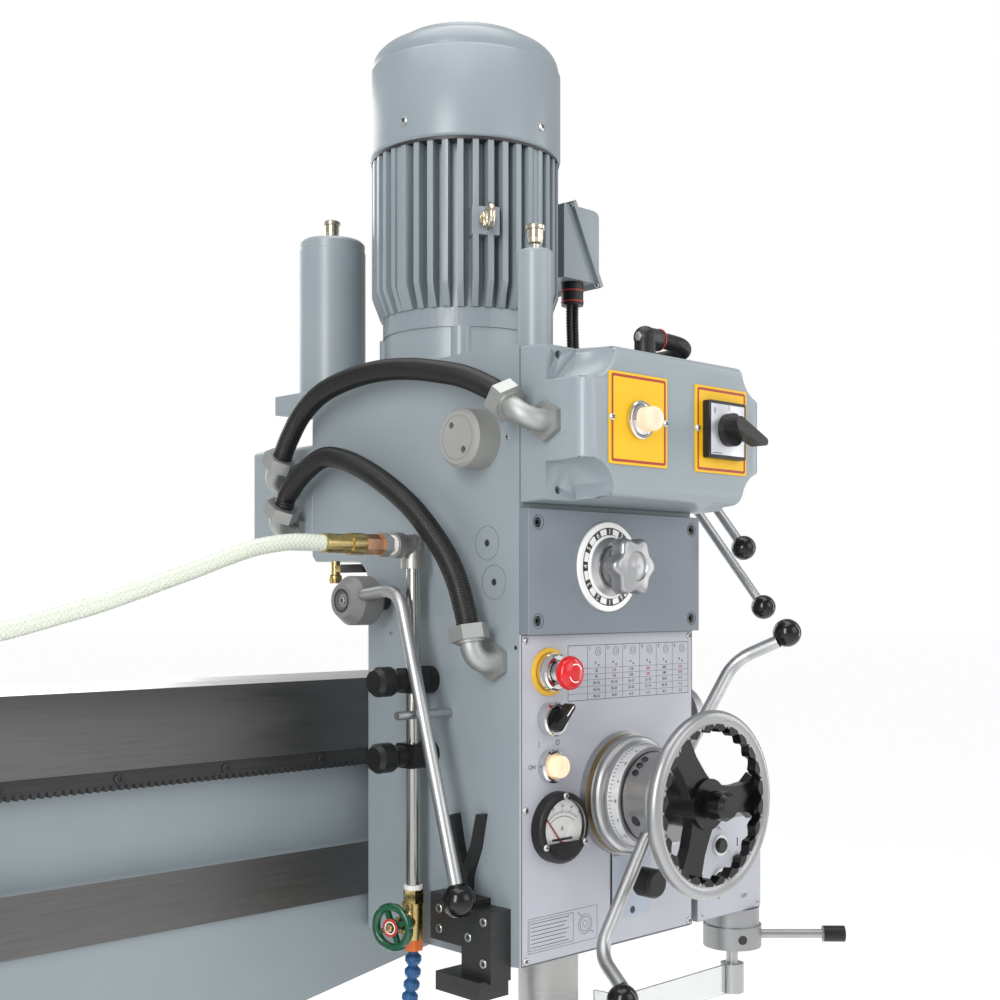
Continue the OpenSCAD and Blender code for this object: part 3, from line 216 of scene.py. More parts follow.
def braid_effect():
    """Threads that cross in two directions under a clear skin; they run round the X axis."""
    tree, inputs = effect("crossed_threads")
    split = tree.nodes.new("ShaderNodeSeparateXYZ")
    tree.links.new(inputs["Vector"], split.inputs["Vector"])
    threads = []
    for side in ("ADD", "SUBTRACT"):
        slope = math_node(tree, side, split.outputs["X"], split.outputs["Z"])
        wave = math_node(tree, "SINE", math_node(tree, "MULTIPLY", slope, inputs["Scale"]), 0.0)
        threads.append(ramp_node(tree, wave, 0.72, 0.95))
    both = math_node(tree, "MAXIMUM", *threads)
    return close_effect(tree, inputs, both, both, 0.1, both)


PAINT = paint_effect()
GRAIN = grain_effect()
SPECKLE = speckle_effect()
MOULDED = moulded_effect()
BRAID = braid_effect()


def finish(name, group, colour, tint, roughness, scale, amount, bump, metallic=0.0, stretch=(1, 1, 1)):
    """Material with one effect group in front of its shader; plain sockets stay on the shader.

    Scale is that of the pattern, amount that of the tint, and bump is the strength of the relief.
    """
    material = bpy.data.materials.new(name)
    material.use_nodes = True
    tree = material.node_tree
    shader = tree.nodes["Principled BSDF"].inputs
    place = tree.nodes.new("ShaderNodeTexCoord")
    mapping = tree.nodes.new("ShaderNodeMapping")
    mapping.inputs["Scale"].default_value = stretch
    pattern = tree.nodes.new("ShaderNodeGroup")
    pattern.node_tree = group
    relief = tree.nodes.new("ShaderNodeBump")
    relief.inputs["Strength"].default_value = bump
    relief.inputs["Distance"].default_value = RELIEF
    for label, value in (("Colour", (*colour, 1.0)), ("Tint", (*tint, 1.0)), ("Roughness", roughness),
                         ("Scale", scale), ("Amount", amount)):
        pattern.inputs[label].default_value = value
    for start, end in ((place.outputs["Object"], mapping.inputs["Vector"]),
                       (mapping.outputs["Vector"], pattern.inputs["Vector"]),
                       (pattern.outputs["Colour"], shader["Base Color"]),
                       (pattern.outputs["Roughness"], shader["Roughness"]),
                       (pattern.outputs["Height"], relief.inputs["Height"]),
                       (relief.outputs["Normal"], shader["Normal"])):
        tree.links.new(start, end)
    shader["Metallic"].default_value = metallic
    for socket, value in PLAIN_SOCKETS.get(name, {}).items():
        shader[socket].default_value = value
    return material


ALONG_X = (0.04, 1.0, 1.0)
ALONG_Z = (1.0, 1.0, 0.05)
AROUND_Z = (0.05, 0.05, 1.0)
AROUND_Y = (0.05, 1.0, 0.05)

FINISHES = {
    # Paints and lacquers
    "machine_enamel": (PAINT, (0.250, 0.289, 0.312), (0.222, 0.260, 0.283), 0.33, 420.0, 0.7, 0.10),
    "plate_enamel": (PAINT, (0.165, 0.190, 0.222), (0.148, 0.171, 0.200), 0.40, 700.0, 0.7, 0.06),
    # Darker copy of machine_enamel: painted shade on the motor, its fan cover and terminal box
    "machine_enamel_shaded": (PAINT, (0.222, 0.258, 0.281), (0.198, 0.232, 0.254), 0.33, 380.0, 0.7, 0.14),
    "cast_grey": (PAINT, (0.185, 0.186, 0.180), (0.15, 0.151, 0.146), 0.46, 500.0, 0.8, 0.12),
    "cap_grey": (PAINT, (0.265, 0.267, 0.252), (0.22, 0.222, 0.209), 0.46, 500.0, 0.8, 0.10),
    "panel_lacquer": (SPECKLE, (0.425, 0.436, 0.484), (0.36, 0.370, 0.412), 0.40, 1500.0, 0.5, 0.03),
    "feed_plate": (SPECKLE, (0.37, 0.405, 0.48), (0.315, 0.35, 0.425), 0.38, 1500.0, 0.5, 0.03),
    "yellow_plate": (PAINT, (0.74, 0.43, 0.006), (0.69, 0.395, 0.005), 0.44, 900.0, 0.4, 0.02),
    "green_wheel": (PAINT, (0.008, 0.072, 0.034), (0.006, 0.055, 0.026), 0.2, 240.0, 0.6, 0.14),
    # Steel, chrome and zinc
    # One ground steel in two copies: a darker one as painted shade on the front ways and the base's top, a
    # lighter one as painted light on the arm's top
    "ground_steel_shaded": (GRAIN, (0.155, 0.152, 0.150), (0.115, 0.113, 0.111), 0.40, 340.0, 0.6, 0.03, 1.0, ALONG_X),
    "ground_steel_lit": (GRAIN, (0.62, 0.615, 0.61), (0.52, 0.515, 0.51), 0.34, 340.0, 0.5, 0.03, 1.0, ALONG_X),
    "sleeve_steel": (GRAIN, (0.42, 0.42, 0.412), (0.36, 0.36, 0.353), 0.34, 300.0, 0.3, 0.01, 1.0, AROUND_Z),
    "bar_steel": (MOULDED, (0.45, 0.455, 0.46), (0.39, 0.395, 0.40), 0.42, 500.0, 0.5, 0.0, 1.0),
    "turned_steel": (GRAIN, (0.45, 0.455, 0.46), (0.38, 0.385, 0.39), 0.38, 500.0, 0.35, 0.01, 1.0, AROUND_Y),
    "dial_band": (SPECKLE, (0.62, 0.63, 0.64), (0.56, 0.57, 0.58), 0.42, 1400.0, 0.4, 0.01, 0.35),
    "pipe_chrome": (GRAIN, (0.46, 0.455, 0.43), (0.36, 0.355, 0.33), 0.20, 200.0, 0.5, 0.02, 1.0, ALONG_Z),
    "bright_chrome": (GRAIN, (0.70, 0.70, 0.70), (0.6, 0.6, 0.6), 0.1, 120.0, 0.3, 0.01, 1.0),
    "knob_silver": (SPECKLE, (0.35, 0.354, 0.360), (0.30, 0.304, 0.310), 0.36, 1600.0, 0.5, 0.03, 0.85),
    "zinc_cast": (MOULDED, (0.40, 0.41, 0.397), (0.33, 0.341, 0.341), 0.56, 260.0, 0.6, 0.05, 1.0),
    "iron_elbow": (MOULDED, (0.36, 0.355, 0.335), (0.25, 0.245, 0.23), 0.42, 320.0, 0.7, 0.12, 0.9),
    "screw_zinc": (MOULDED, (0.55, 0.555, 0.54), (0.42, 0.42, 0.40), 0.3, 600.0, 0.5, 0.02, 1.0),
    "dark_screw_and_slot_shade": (MOULDED, (0.035, 0.036, 0.038), (0.06, 0.06, 0.062), 0.36, 700.0, 0.6, 0.03, 0.6),
    # Black mouldings, castings and blued steel
    "black_moulding": (MOULDED, (0.008, 0.008, 0.0085), (0.014, 0.014, 0.0145), 0.38, 900.0, 0.6, 0.08),
    "black_ball": (MOULDED, (0.004, 0.004, 0.0045), (0.006, 0.006, 0.0065), 0.16, 300.0, 0.5, 0.01),
    "black_cast": (MOULDED, (0.004, 0.004, 0.0045), (0.008, 0.008, 0.0085), 0.22, 420.0, 0.6, 0.22),
    "black_oxide": (GRAIN, (0.03, 0.03, 0.031), (0.055, 0.054, 0.053), 0.4, 320.0, 0.6, 0.05, 0.5, ALONG_X),
    "conduit_black": (MOULDED, (0.007, 0.007, 0.0068), (0.012, 0.0118, 0.0115), 0.36, 500.0, 0.5, 0.03),
    # Brass, copper and bronze
    "brass_turned": (GRAIN, (0.60, 0.46, 0.20), (0.45, 0.33, 0.13), 0.24, 300.0, 0.6, 0.03, 1.0),
    "copper_nut": (MOULDED, (0.70, 0.40, 0.24), (0.55, 0.30, 0.17), 0.28, 300.0, 0.6, 0.03, 1.0),
    "nickel_brass": (MOULDED, (0.62, 0.56, 0.44), (0.5, 0.44, 0.33), 0.22, 300.0, 0.5, 0.02, 1.0),
    "bronze_band": (GRAIN, (0.30, 0.22, 0.11), (0.20, 0.14, 0.07), 0.34, 300.0, 0.6, 0.03, 0.9, AROUND_Y),
    # Prints and dial faces; the black and grey prints also serve as painted shade in gaps, slots and holes
    "red_print": (PAINT, (0.32, 0.018, 0.012), (0.28, 0.015, 0.010), 0.4, 900.0, 0.4, 0.01),
    "black_print_and_shade": (PAINT, (0.018, 0.018, 0.02), (0.03, 0.03, 0.032), 0.45, 900.0, 0.5, 0.01),
    "grey_print_and_shade": (PAINT, (0.05, 0.05, 0.053), (0.07, 0.07, 0.073), 0.45, 900.0, 0.5, 0.01),
    "white_face": (PAINT, (0.84, 0.84, 0.82), (0.80, 0.80, 0.78), 0.45, 900.0, 0.4, 0.01),
    "silver_face": (GRAIN, (0.52, 0.53, 0.56), (0.44, 0.45, 0.48), 0.36, 500.0, 0.4, 0.01, 0.6, ALONG_X),
    # Coloured and clear plastics
    "yellow_ring": (MOULDED, (0.70, 0.40, 0.02), (0.62, 0.34, 0.02), 0.36, 700.0, 0.4, 0.03),
    "red_button": (MOULDED, (0.56, 0.010, 0.014), (0.48, 0.008, 0.012), 0.2, 400.0, 0.4, 0.01),
    "white_tape": (MOULDED, (0.72, 0.71, 0.68), (0.62, 0.61, 0.58), 0.5, 500.0, 0.5, 0.05),
    "orange_cup": (MOULDED, (0.78, 0.17, 0.02), (0.66, 0.13, 0.015), 0.36, 600.0, 0.4, 0.04),
    "red_seal": (MOULDED, (0.42, 0.03, 0.02), (0.34, 0.02, 0.015), 0.4, 600.0, 0.4, 0.03),
    "blue_cups": (MOULDED, (0.012, 0.080, 0.215), (0.009, 0.064, 0.175), 0.34, 600.0, 0.5, 0.04),
    "warm_lens": (MOULDED, (0.90, 0.76, 0.60), (0.88, 0.70, 0.50), 0.14, 300.0, 0.4, 0.01),
    "clear_lens": (MOULDED, (1.0, 1.0, 1.0), (0.96, 0.96, 0.96), 0.03, 300.0, 0.3, 0.0),
    "clear_shield": (MOULDED, (0.82, 0.84, 0.84), (0.76, 0.78, 0.78), 0.12, 300.0, 0.3, 0.0),
    "hose_clear": (BRAID, (0.62, 0.67, 0.57), (0.78, 0.81, 0.72), 0.26, 1000.0, 0.7, 0.15),
    # Stage
    "studio_floor": (PAINT, (0.86, 0.86, 0.86), (0.84, 0.84, 0.84), 0.7, 60.0, 0.3, 0.0),
}

# Shader sockets that only some finishes set
PLAIN_SOCKETS = {
    "yellow_plate": {"Specular IOR Level": 0.3},
    "black_moulding": {"Specular IOR Level": 0.35},
    "black_ball": {"Specular IOR Level": 0.4},
    "black_cast": {"Specular IOR Level": 0.4},
    "conduit_black": {"Specular IOR Level": 0.35},
    "warm_lens": {"Transmission Weight": 0.35, "IOR": 1.49, "Emission Color": (1.0, 0.72, 0.42, 1),
                  "Emission Strength": 0.22},
    "clear_lens": {"Transmission Weight": 1.0, "IOR": 1.3},
    "clear_shield": {"Transmission Weight": 0.9, "IOR": 1.46},
    "hose_clear": {"Transmission Weight": 0.2, "IOR": 1.45},
    "studio_floor": {"Emission Color": (1, 1, 1, 1), "Emission Strength": 0.62},
}

LOOKS = {name: finish(name, *values) for name, values in FINISHES.items()}


# Places: local Z points away from the face

def axes_at(origin, x, y, z):
    place = Matrix((x, y, z)).transposed().to_4x4()
    place.translation = origin
    return place


def on_front(a, z, f=0.0):
    return axes_at((HEAD_LEFT + a, HEAD_FRONT - f, z), (1, 0, 0), (0, 0, 1), (0, -1, 0))


def on_left(t, z, u=0.0):
    return axes_at((HEAD_LEFT - u, HEAD_FRONT + t, z), (0, -1, 0), (0, 0, 1), (-1, 0, 0))


def on_right(t, z, u=0.0):
    return axes_at((HEAD_RIGHT + u, HEAD_FRONT + t, z), (0, 1, 0), (0, 0, 1), (1, 0, 0))


def on_barrel(radius, height=0.0):
    """Place on the outside of a cylinder round local Z."""
    return axes_at((radius, 0, height), (0, 1, 0), (0, 0, 1), (1, 0, 0))


def turn(angle):
    return Matrix.Rotation(math.radians(angle), 4, "Z")


def shift(x, y, z=0.0):
    return Matrix.Translation((x, y, z))


# Shapes

def lathe(profile, place, segments=48):
    """Solid of revolution round local Z; its (radius, height) pairs start and end on the axis or meet."""
    shape = bmesh.new()
    line = [shape.verts.new((radius, 0, height)) for radius, height in profile]
    edges = [shape.edges.new(pair) for pair in zip(line, line[1:])]
    bmesh.ops.spin(shape, geom=line + edges, cent=(0, 0, 0), axis=(0, 0, 1), angle=math.tau,
                   steps=segments, use_merge=True)
    bmesh.ops.remove_doubles(shape, verts=shape.verts, dist=1e-7)
    bmesh.ops.recalc_face_normals(shape, faces=shape.faces)
    shape.transform(place)
    return shape


def disc(top, foot, height, place, segments):
    """Low disc with its own radius at the top and at the foot."""
    return lathe([(0, height), (top, height), (foot, 0), (0, 0)], place, segments)


def ring(outer, inner, height, place, soft=0.0004, segments=48):
    """Washer with softened rims."""
    profile = [(inner, 0), (outer, 0), (outer, height - soft), (outer - soft, height),
               (inner + soft, height), (inner, height - soft), (inner, 0)]
    return lathe(profile, place, segments)


def bevel_all(shape, soft):
    if soft:
        bmesh.ops.bevel(shape, geom=shape.edges[:], offset=soft, segments=2, profile=0.5,
                        affect="EDGES", material=-1)


def block(size, place, soft=0.0004):
    """Box that stands on local Z = 0 with bevelled edges."""
    shape = bmesh.new()
    bmesh.ops.create_cube(shape, size=1.0)
    bmesh.ops.scale(shape, vec=size, verts=shape.verts)
    bmesh.ops.translate(shape, vec=(0, 0, size[2] / 2), verts=shape.verts)
    bevel_all(shape, soft)
    shape.transform(place)
    return shape


def hexagon(across, height, place, soft=0.0006):
    """Hexagon head or nut with a turned edge."""
    shape = bmesh.new()
    radius = across / math.sqrt(3)
    bmesh.ops.create_cone(shape, cap_ends=True, segments=6, radius1=radius, radius2=radius, depth=height)
    bmesh.ops.translate(shape, vec=(0, 0, height / 2), verts=shape.verts)
    bevel_all(shape, soft)
    shape.transform(place)
    return shape


def bar(start, end, width, place):
    """Printed stroke between two points of a face."""
    a, b = Vector(start), Vector(end)
    angle = math.degrees(math.atan2(b.y - a.y, b.x - a.x))
    middle = (a + b) / 2
    return block(((b - a).length, width, PRINT), place @ shift(middle.x, middle.y) @ turn(angle), 0)


def frame_lines(width, height, stroke, place):
    """Printed outline of a rectangle centred on the place."""
    x, y = width / 2, height / 2
    corners = [(-x, -y), (x, -y), (x, y), (-x, y)]
    return [bar(corners[k], corners[(k + 1) % 4], stroke, place) for k in range(4)]


def arc_band(inner, outer, first, last, place, steps):
    """Printed part of a ring between two angles in degrees."""
    shape = bmesh.new()
    ends = [shape.verts.new((r * math.cos(math.radians(first)), r * math.sin(math.radians(first)), 0))
            for r in (inner, outer)]
    edge = shape.edges.new(ends)
    bmesh.ops.spin(shape, geom=ends + [edge], cent=(0, 0, 0), axis=(0, 0, 1),
                   angle=math.radians(last - first), steps=steps)
    bmesh.ops.recalc_face_normals(shape, faces=shape.faces)
    bmesh.ops.solidify(shape, geom=shape.faces[:], thickness=PRINT)
    bmesh.ops.recalc_face_normals(shape, faces=shape.faces)
    shape.transform(place @ shift(0, 0, PRINT))
    return shape


def circle_band(inner, outer, place, steps):
    """Printed ring."""
    return arc_band(inner, outer, 0, 360, place, steps)


def figure(words, size, place):
    """Printed number or switch word made from Blender's own font."""
    curve = bpy.data.curves.new("figure", "FONT")
    curve.body = words
    curve.size = size
    curve.align_x = "CENTER"
    curve.align_y = "CENTER"
    curve.extrude = PRINT / 2
    curve.resolution_u = 3
    holder = bpy.data.objects.new("figure", curve)
    mesh = bpy.data.meshes.new_from_object(holder)
    shape = bmesh.new()
    shape.from_mesh(mesh)
    shape.transform(place @ shift(0, 0, PRINT / 2))
    bpy.data.objects.remove(holder)
    bpy.data.curves.remove(curve)
    bpy.data.meshes.remove(mesh)
    return shape


def pan_screw(radius, place):
    """Cross-slotted pan head: the head and, apart, dark bars painted as the shade in its slots."""
    dome = [(0, 0.55 * radius), (0.5 * radius, 0.5 * radius), (0.85 * radius, 0.34 * radius),
            (radius, 0.1 * radius), (radius, 0), (0, 0)]
    size = (1.2 * radius, 0.24 * radius, 0.12 * radius)
    slots = [block(size, place @ shift(0, 0, 0.46 * radius) @ turn(45 + 90 * k), 0) for k in range(2)]
    return lathe(dome, place, 24), slots


def socket_screw(radius, height, place):
    """Socket cap head: the ring and, apart, the floor of its hexagon, which takes a dark finish as painted
    shade in the socket.
    """
    rim = [(0.52 * radius, 0.3 * height), (0.52 * radius, height - 0.0003), (0.55 * radius, height),
           (radius - 0.0005, height), (radius, height - 0.0005), (radius, 0), (0, 0), (0, 0.3 * height),
           (0.52 * radius, 0.3 * height)]
    floor = hexagon(radius, 0.0003, place @ shift(0, 0, 0.3 * height), 0)
    return lathe(rim, place, 24), [floor]


def screw_set(screws):
    """All heads of several screws and, apart, all their slots and socket floors, the dark marks of painted
    shade.
    """
    heads, slots = [], []
    for head, own_slots in screws:
        heads.append(head)
        slots += own_slots
    return heads, slots


# Objects

def linked(name, data):
    thing = bpy.data.objects.new(name, data)
    bpy.context.scene.collection.objects.link(thing)
    return thing


def model(name, parts, angle):
    """Object from pairs of a finish and its shapes, with its place in its mesh."""
    mesh = bpy.data.meshes.new(name)
    whole = bmesh.new()
    for index, (look, shapes) in enumerate(parts):
        mesh.materials.append(LOOKS[look])
        for shape in shapes:
            for face in shape.faces:
                face.material_index = index
            scrap = bpy.data.meshes.new("scrap")
            shape.to_mesh(scrap)
            whole.from_mesh(scrap)
            shape.free()
            bpy.data.meshes.remove(scrap)
    whole.to_mesh(mesh)
    whole.free()
    mesh.shade_smooth()
    mesh.set_sharp_from_angle(angle=math.radians(angle))
    return linked(name, mesh)


def piece(name, body, parts, angle=32):
    """Object that rides one body."""
    thing = model(name, parts, angle)
    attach(thing, body)
    return thing


def body_of(node):
    return nodes[node]["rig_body"]


def coat(mesh, look, others):
    """Finish on a mesh; each other pair gives another finish to the faces that its test picks."""
    mesh.materials.clear()
    mesh.materials.append(LOOKS[look])
    mesh.polygons.foreach_set("material_index", [0] * len(mesh.polygons))
    for index, (other, test) in enumerate(others):
        mesh.materials.append(LOOKS[other])
        for face in mesh.polygons:
            if test(face.center, face.normal):
                face.material_index = index + 1


def dress(node, look, *others):
    coat(nodes[node].data, look, others)


def softened(node, width, look, *others, angle=40, segments=3, spare=None):
    """Rounded copy of a sharp casting: the copy stands for the node. Edges that spare picks stay sharp."""
    mesh = nodes[node].data.copy()
    mesh.name = node + "_cast"
    coat(mesh, look, others)
    shape = bmesh.new()
    shape.from_mesh(mesh)
    bmesh.ops.remove_doubles(shape, verts=shape.verts, dist=2e-6)
    bmesh.ops.dissolve_limit(shape, angle_limit=math.radians(0.5), verts=shape.verts, edges=shape.edges,
                             delimit={"MATERIAL"})
    if spare:
        weight = shape.edges.layers.float.new("bevel_weight_edge")
        for edge in shape.edges:
            sharp = edge.is_manifold and edge.calc_face_angle() > math.radians(angle)
            middle = (edge.verts[0].co + edge.verts[1].co) / 2
            edge[weight] = float(sharp and not spare(middle))
    shape.to_mesh(mesh)
    shape.free()
    thing = linked(node + "_cast", mesh)
    rounding = thing.modifiers.new("edges", "BEVEL")
    rounding.width = width
    rounding.segments = segments
    rounding.limit_method = "WEIGHT" if spare else "ANGLE"
    rounding.angle_limit = math.radians(angle)
    rounding.use_clamp_overlap = not spare
    rounding.harden_normals = True
    mesh.shade_smooth()
    mesh.set_sharp_from_angle(angle=math.radians(30))
    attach(thing, body_of(node))
    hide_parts(node)


# Hoses and rods: a ring of points swept along a line

def spline_points(route, per_span):
    """Catmull-Rom points through a route."""
    points = [Vector(p) for p in route]
    padded = [2 * points[0] - points[1], *points, 2 * points[-1] - points[-2]]
    smooth = []
    for k in range(len(points) - 1):
        p0, p1, p2, p3 = padded[k:k + 4]
        for step in range(per_span):
            s = step / per_span
            smooth.append(0.5 * (2 * p1 + (p2 - p0) * s + (2 * p0 - 5 * p1 + 4 * p2 - p3) * s * s
                                 + (3 * p1 - p0 - 3 * p2 + p3) * s ** 3))
    smooth.append(points[-1])
    return smooth


def even_points(points, gap):
    """The same line with points an even gap apart, and its length."""
    lengths = [0.0]
    for a, b in zip(points, points[1:]):
        lengths.append(lengths[-1] + (b - a).length)
    count = max(2, round(lengths[-1] / gap))
    result, k = [], 0
    for step in range(count + 1):
        target = lengths[-1] * step / count
        while k < len(points) - 2 and lengths[k + 1] < target:
            k += 1
        span = lengths[k + 1] - lengths[k]
        result.append(points[k].lerp(points[k + 1], min(1.0, (target - lengths[k]) / span)))
    return result, lengths[-1]


def bridge(shape, loops):
    """Walls between loops of equal count, with both ends closed."""
    count = len(loops[0])
    for first, second in zip(loops, loops[1:]):
        for j in range(count):
            shape.faces.new((first[j], first[(j + 1) % count], second[(j + 1) % count], second[j]))
    shape.faces.new(loops[0][::-1])
    shape.faces.new(loops[-1])
    bmesh.ops.recalc_face_normals(shape, faces=shape.faces)


def swept(points, radius_at, sides):
    """Closed tube: ring k has the radius that radius_at(k) gives."""
    shape = bmesh.new()
    normal = Vector((0, 0, 1))
    loops = []
    for k, point in enumerate(points):
        ahead = (points[min(k + 1, len(points) - 1)] - points[max(k - 1, 0)]).normalized()
        side = ahead.cross(normal)
        if side.length < 0.1:
            side = ahead.cross(Vector((0, 1, 0)))
        side.normalize()
        normal = side.cross(ahead).normalized()
        loops.append([shape.verts.new(point + radius_at(k) * (math.cos(math.tau * j / sides) * side
                                                             + math.sin(math.tau * j / sides) * normal))
                      for j in range(sides)])
    bridge(shape, loops)
    return shape


def bent_rod(route, radius, bend):
    """Round bar along straight runs, with an easy bend at every corner."""
    corners = [Vector(p) for p in route]
    line = [corners[0]]
    for before, corner, after in zip(corners, corners[1:], corners[2:]):
        start = corner + bend * (before - corner).normalized()
        end = corner + bend * (after - corner).normalized()
        for step in range(13):
            s = step / 12
            line.append((1 - s) ** 2 * start + 2 * (1 - s) * s * corner + s * s * end)
    line.append(corners[-1])
    return swept(line, lambda k: radius, 24)


def ball(radius, centre):
    shape = bmesh.new()
    bmesh.ops.create_uvsphere(shape, u_segments=40, v_segments=24, radius=radius)
    shape.transform(Matrix.Translation(centre))
    return shape


def lobed(levels, lobes, place, steps=96):
    """Knob with finger lobes: each level gives its height, its mean radius and the depth of its lobes."""
    shape = bmesh.new()
    loops = []
    for height, radius, wave in levels:
        angles = [math.tau * j / steps for j in range(steps)]
        spokes = [(a, radius + wave * math.cos(lobes * a)) for a in angles]
        loops.append([shape.verts.new((r * math.cos(a), r * math.sin(a), height)) for a, r in spokes])
    bridge(shape, loops)
    shape.transform(place)
    return shape


def conduit(name, route, diameter, pitch, depth, body):
    """Corrugated conduit through a route."""
    line, length = even_points(spline_points(route, 24), pitch / 4)
    crest = diameter / 2
    profile = (0.0, 0.55, 1.0, 0.55)
    shape = swept(line, lambda k: crest - depth * profile[k % 4], 28)
    thing = piece(name, body, [("conduit_black", [shape])], angle=75)
    return thing


# Camera at the photograph's place, light and stage

SOFTBOXES = (
    ("left_softbox", (-1.9, -1.45, 2.6), (0.8, -0.3, 1.7), (0.8, 2.4), 74),
    ("front_softbox", (1.6, -2.8, 2.5), (0.9, -0.3, 1.6), (1.8, 1.6), 20),
    ("right_strip", (3.1, -1.45, 2.2), (0.95, -0.1, 2.0), (0.35, 2.4), 15),
    ("top_softbox", (0.6, -0.3, 4.4), (0.6, -0.2, 1.6), (2.6, 2.6), 60),
    ("back_softbox", (1.2, 2.8, 2.6), (0.8, 0.0, 1.5), (2.0, 2.0), 40),
)


def camera_and_light():
    scene = bpy.context.scene
    scene.view_settings.view_transform = "Standard"
    data = bpy.data.cameras.new("view")
    data.lens = 50.04
    data.sensor_width = 36.0
    data.shift_y = 0.095
    data.clip_end = 60.0
    camera = linked("view", data)
    camera.location = (-0.326, -1.513, 1.650)
    camera.rotation_euler = (math.radians(90), 0, math.radians(-43.62))
    scene.camera = camera
    for name, place, target, size, power in SOFTBOXES:
        lamp = bpy.data.lights.new(name, "AREA")
        lamp.shape = "RECTANGLE"
        lamp.size, lamp.size_y = size
        lamp.energy = power
        box = linked(name, lamp)
        box.location = place
        box.rotation_euler = (Vector(target) - Vector(place)).to_track_quat("-Z", "Y").to_euler()


def white_surround():
    """World that is white where it is seen and dimmer as a light."""
    world = bpy.data.worlds.new("studio")
    world.use_nodes = True
    tree = world.node_tree
    back = tree.nodes["Background"]
    back.inputs["Color"].default_value = (1, 1, 1, 1)
    path = tree.nodes.new("ShaderNodeLightPath").outputs
    seen = math_node(tree, "MAXIMUM", path["Is Camera Ray"], path["Is Transmission Ray"])
    seen = math_node(tree, "MAXIMUM", seen, math_node(tree, "MULTIPLY", path["Is Glossy Ray"], 0.15))
    strength = math_node(tree, "ADD", math_node(tree, "MULTIPLY", seen, 0.6), 0.4)
    tree.links.new(strength, back.inputs["Strength"])
    bpy.context.scene.world = world


def pale_floor():
    shape = bmesh.new()
    bmesh.ops.create_grid(shape, x_segments=1, y_segments=1, size=60.0)
    mesh = bpy.data.meshes.new("floor")
    shape.to_mesh(mesh)
    shape.free()
    mesh.materials.append(LOOKS["studio_floor"])
    floor = linked("floor", mesh)


# Coolant hose from the head to the arm's barrel

HOSE_ROUTE = [(0.630, -0.214, 1.710), (0.588, -0.214, 1.710), (0.541, -0.214, 1.703), (0.501, -0.214, 1.691),
              (0.461, -0.214, 1.677), (0.421, -0.215, 1.664), (0.381, -0.216, 1.651), (0.341, -0.218, 1.639),
              (0.301, -0.220, 1.629), (0.261, -0.223, 1.619), (0.221, -0.226, 1.611), (0.181, -0.228, 1.606),
              (0.141, -0.230, 1.603), (0.101, -0.230, 1.602), (0.061, -0.230, 1.604), (0.021, -0.230, 1.608),
              (-0.019, -0.230, 1.615), (-0.059, -0.230, 1.620), (-0.094, -0.230, 1.620)]


def coolant_hose():
    """Braided clear hose between the head and the arm."""
    line, length = even_points(spline_points(HOSE_ROUTE, 8), 0.004)
    tube = model("coolant_hose_tube", [("hose_clear", [swept(line, lambda k: 0.0095, 24)])], 60)
    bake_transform(tube)
    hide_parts("coolant_hose")


# Ribbed conduits on the head: routes in millimetres

CONDUIT_X = HEAD_LEFT - 0.035
UPPER = [(-6, 1874), (10, 1885), (56, 1904), (106, 1916), (158, 1925), (217, 1929), (279, 1925), (335, 1913),
         (378, 1890), (406, 1861), (423, 1837)]
LOWER = [(50, 1614), (54, 1630), (69, 1667), (90, 1699), (122, 1732), (156, 1760), (200, 1787), (243, 1808),
         (288, 1824), (330, 1829), (372, 1813), (408, 1788), (419, 1771)]
LEAD_Y = -0.135
MOTOR_LEAD = [(1131, 2066), (1131, 2040), (1132.5, 2005), (1132.5, 1975), (1131, 1945), (1131, 1924)]
BOX_LEAD = [(990, -415, 1962), (1006, -415, 1962), (1036, -411, 1961), (1060, -395, 1959), (1073, -364, 1957),
            (1076, -332, 1957), (1076, -310, 1957)]


def side_conduit(name, route):
    """Large conduit on the left side, from places along the head and above the floor."""
    places = [(CONDUIT_X, HEAD_FRONT + t / 1000, z / 1000) for t, z in route]
    return conduit(name, places, 0.027, 0.0034, 0.0010, "head")


def conduits():
    upper = side_conduit("upper_conduit", UPPER)
    side_conduit("lower_conduit", LOWER)
    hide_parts("side_conduits")
    for side, name in ((-0.0058, "motor_lead_left"), (0.0058, "motor_lead_right")):
        motor = conduit(name, [(x / 1000 + side, LEAD_Y, z / 1000) for x, z in MOTOR_LEAD],
                        0.0108, 0.0042, 0.0012, "head")
    conduit("box_lead", [(x / 1000, y / 1000, z / 1000) for x, y, z in BOX_LEAD],
            0.020, 0.0046, 0.0014, "head")
    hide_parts("motor_conduits")


# Finishes of the CAD nodes: tests pick faces by their centre c and normal n

NODE_LOOKS = (
    ("machine_enamel", ("lift_drive", "saddle_keepers", "motor_adapter", "oil_reservoirs")),
    ("sleeve_steel", ("column_post", "column_sleeve", "lift_screw", "quill", "spindle")),
    ("turned_steel", ("feed_shaft", "traverse_shaft")),
    ("black_oxide", ("arm_rack", "trip_block")),
    ("black_moulding", ("ammeter", "pipe_clamps", "coolant_selector", "main_switch", "up_button",
                        "down_button", "mode_switch")),
    ("nickel_brass", ("lifting_eye", "breathers")),
    ("brass_turned", ("hose_port",)),
    ("red_print", ("ammeter_needle",)),
    ("blue_cups", ("coolant_nozzle",)),
    ("warm_lens", ("start_button",)),
)


def near(value, target):
    return abs(value - target) < 0.0006


def ahead_of(f):
    """Test for faces further than f in front of the head."""
    return lambda c, n: c.y < HEAD_FRONT - f


def behind(f):
    """Test for faces less than f in front of the head."""
    return lambda c, n: c.y > HEAD_FRONT - f


def level_at(z):
    """Test for upward faces at one height."""
    return lambda c, n: n.z > 0.9 and near(c.z, z)


def past(x):
    """Test for faces to the right of x."""
    return lambda c, n: c.x > x


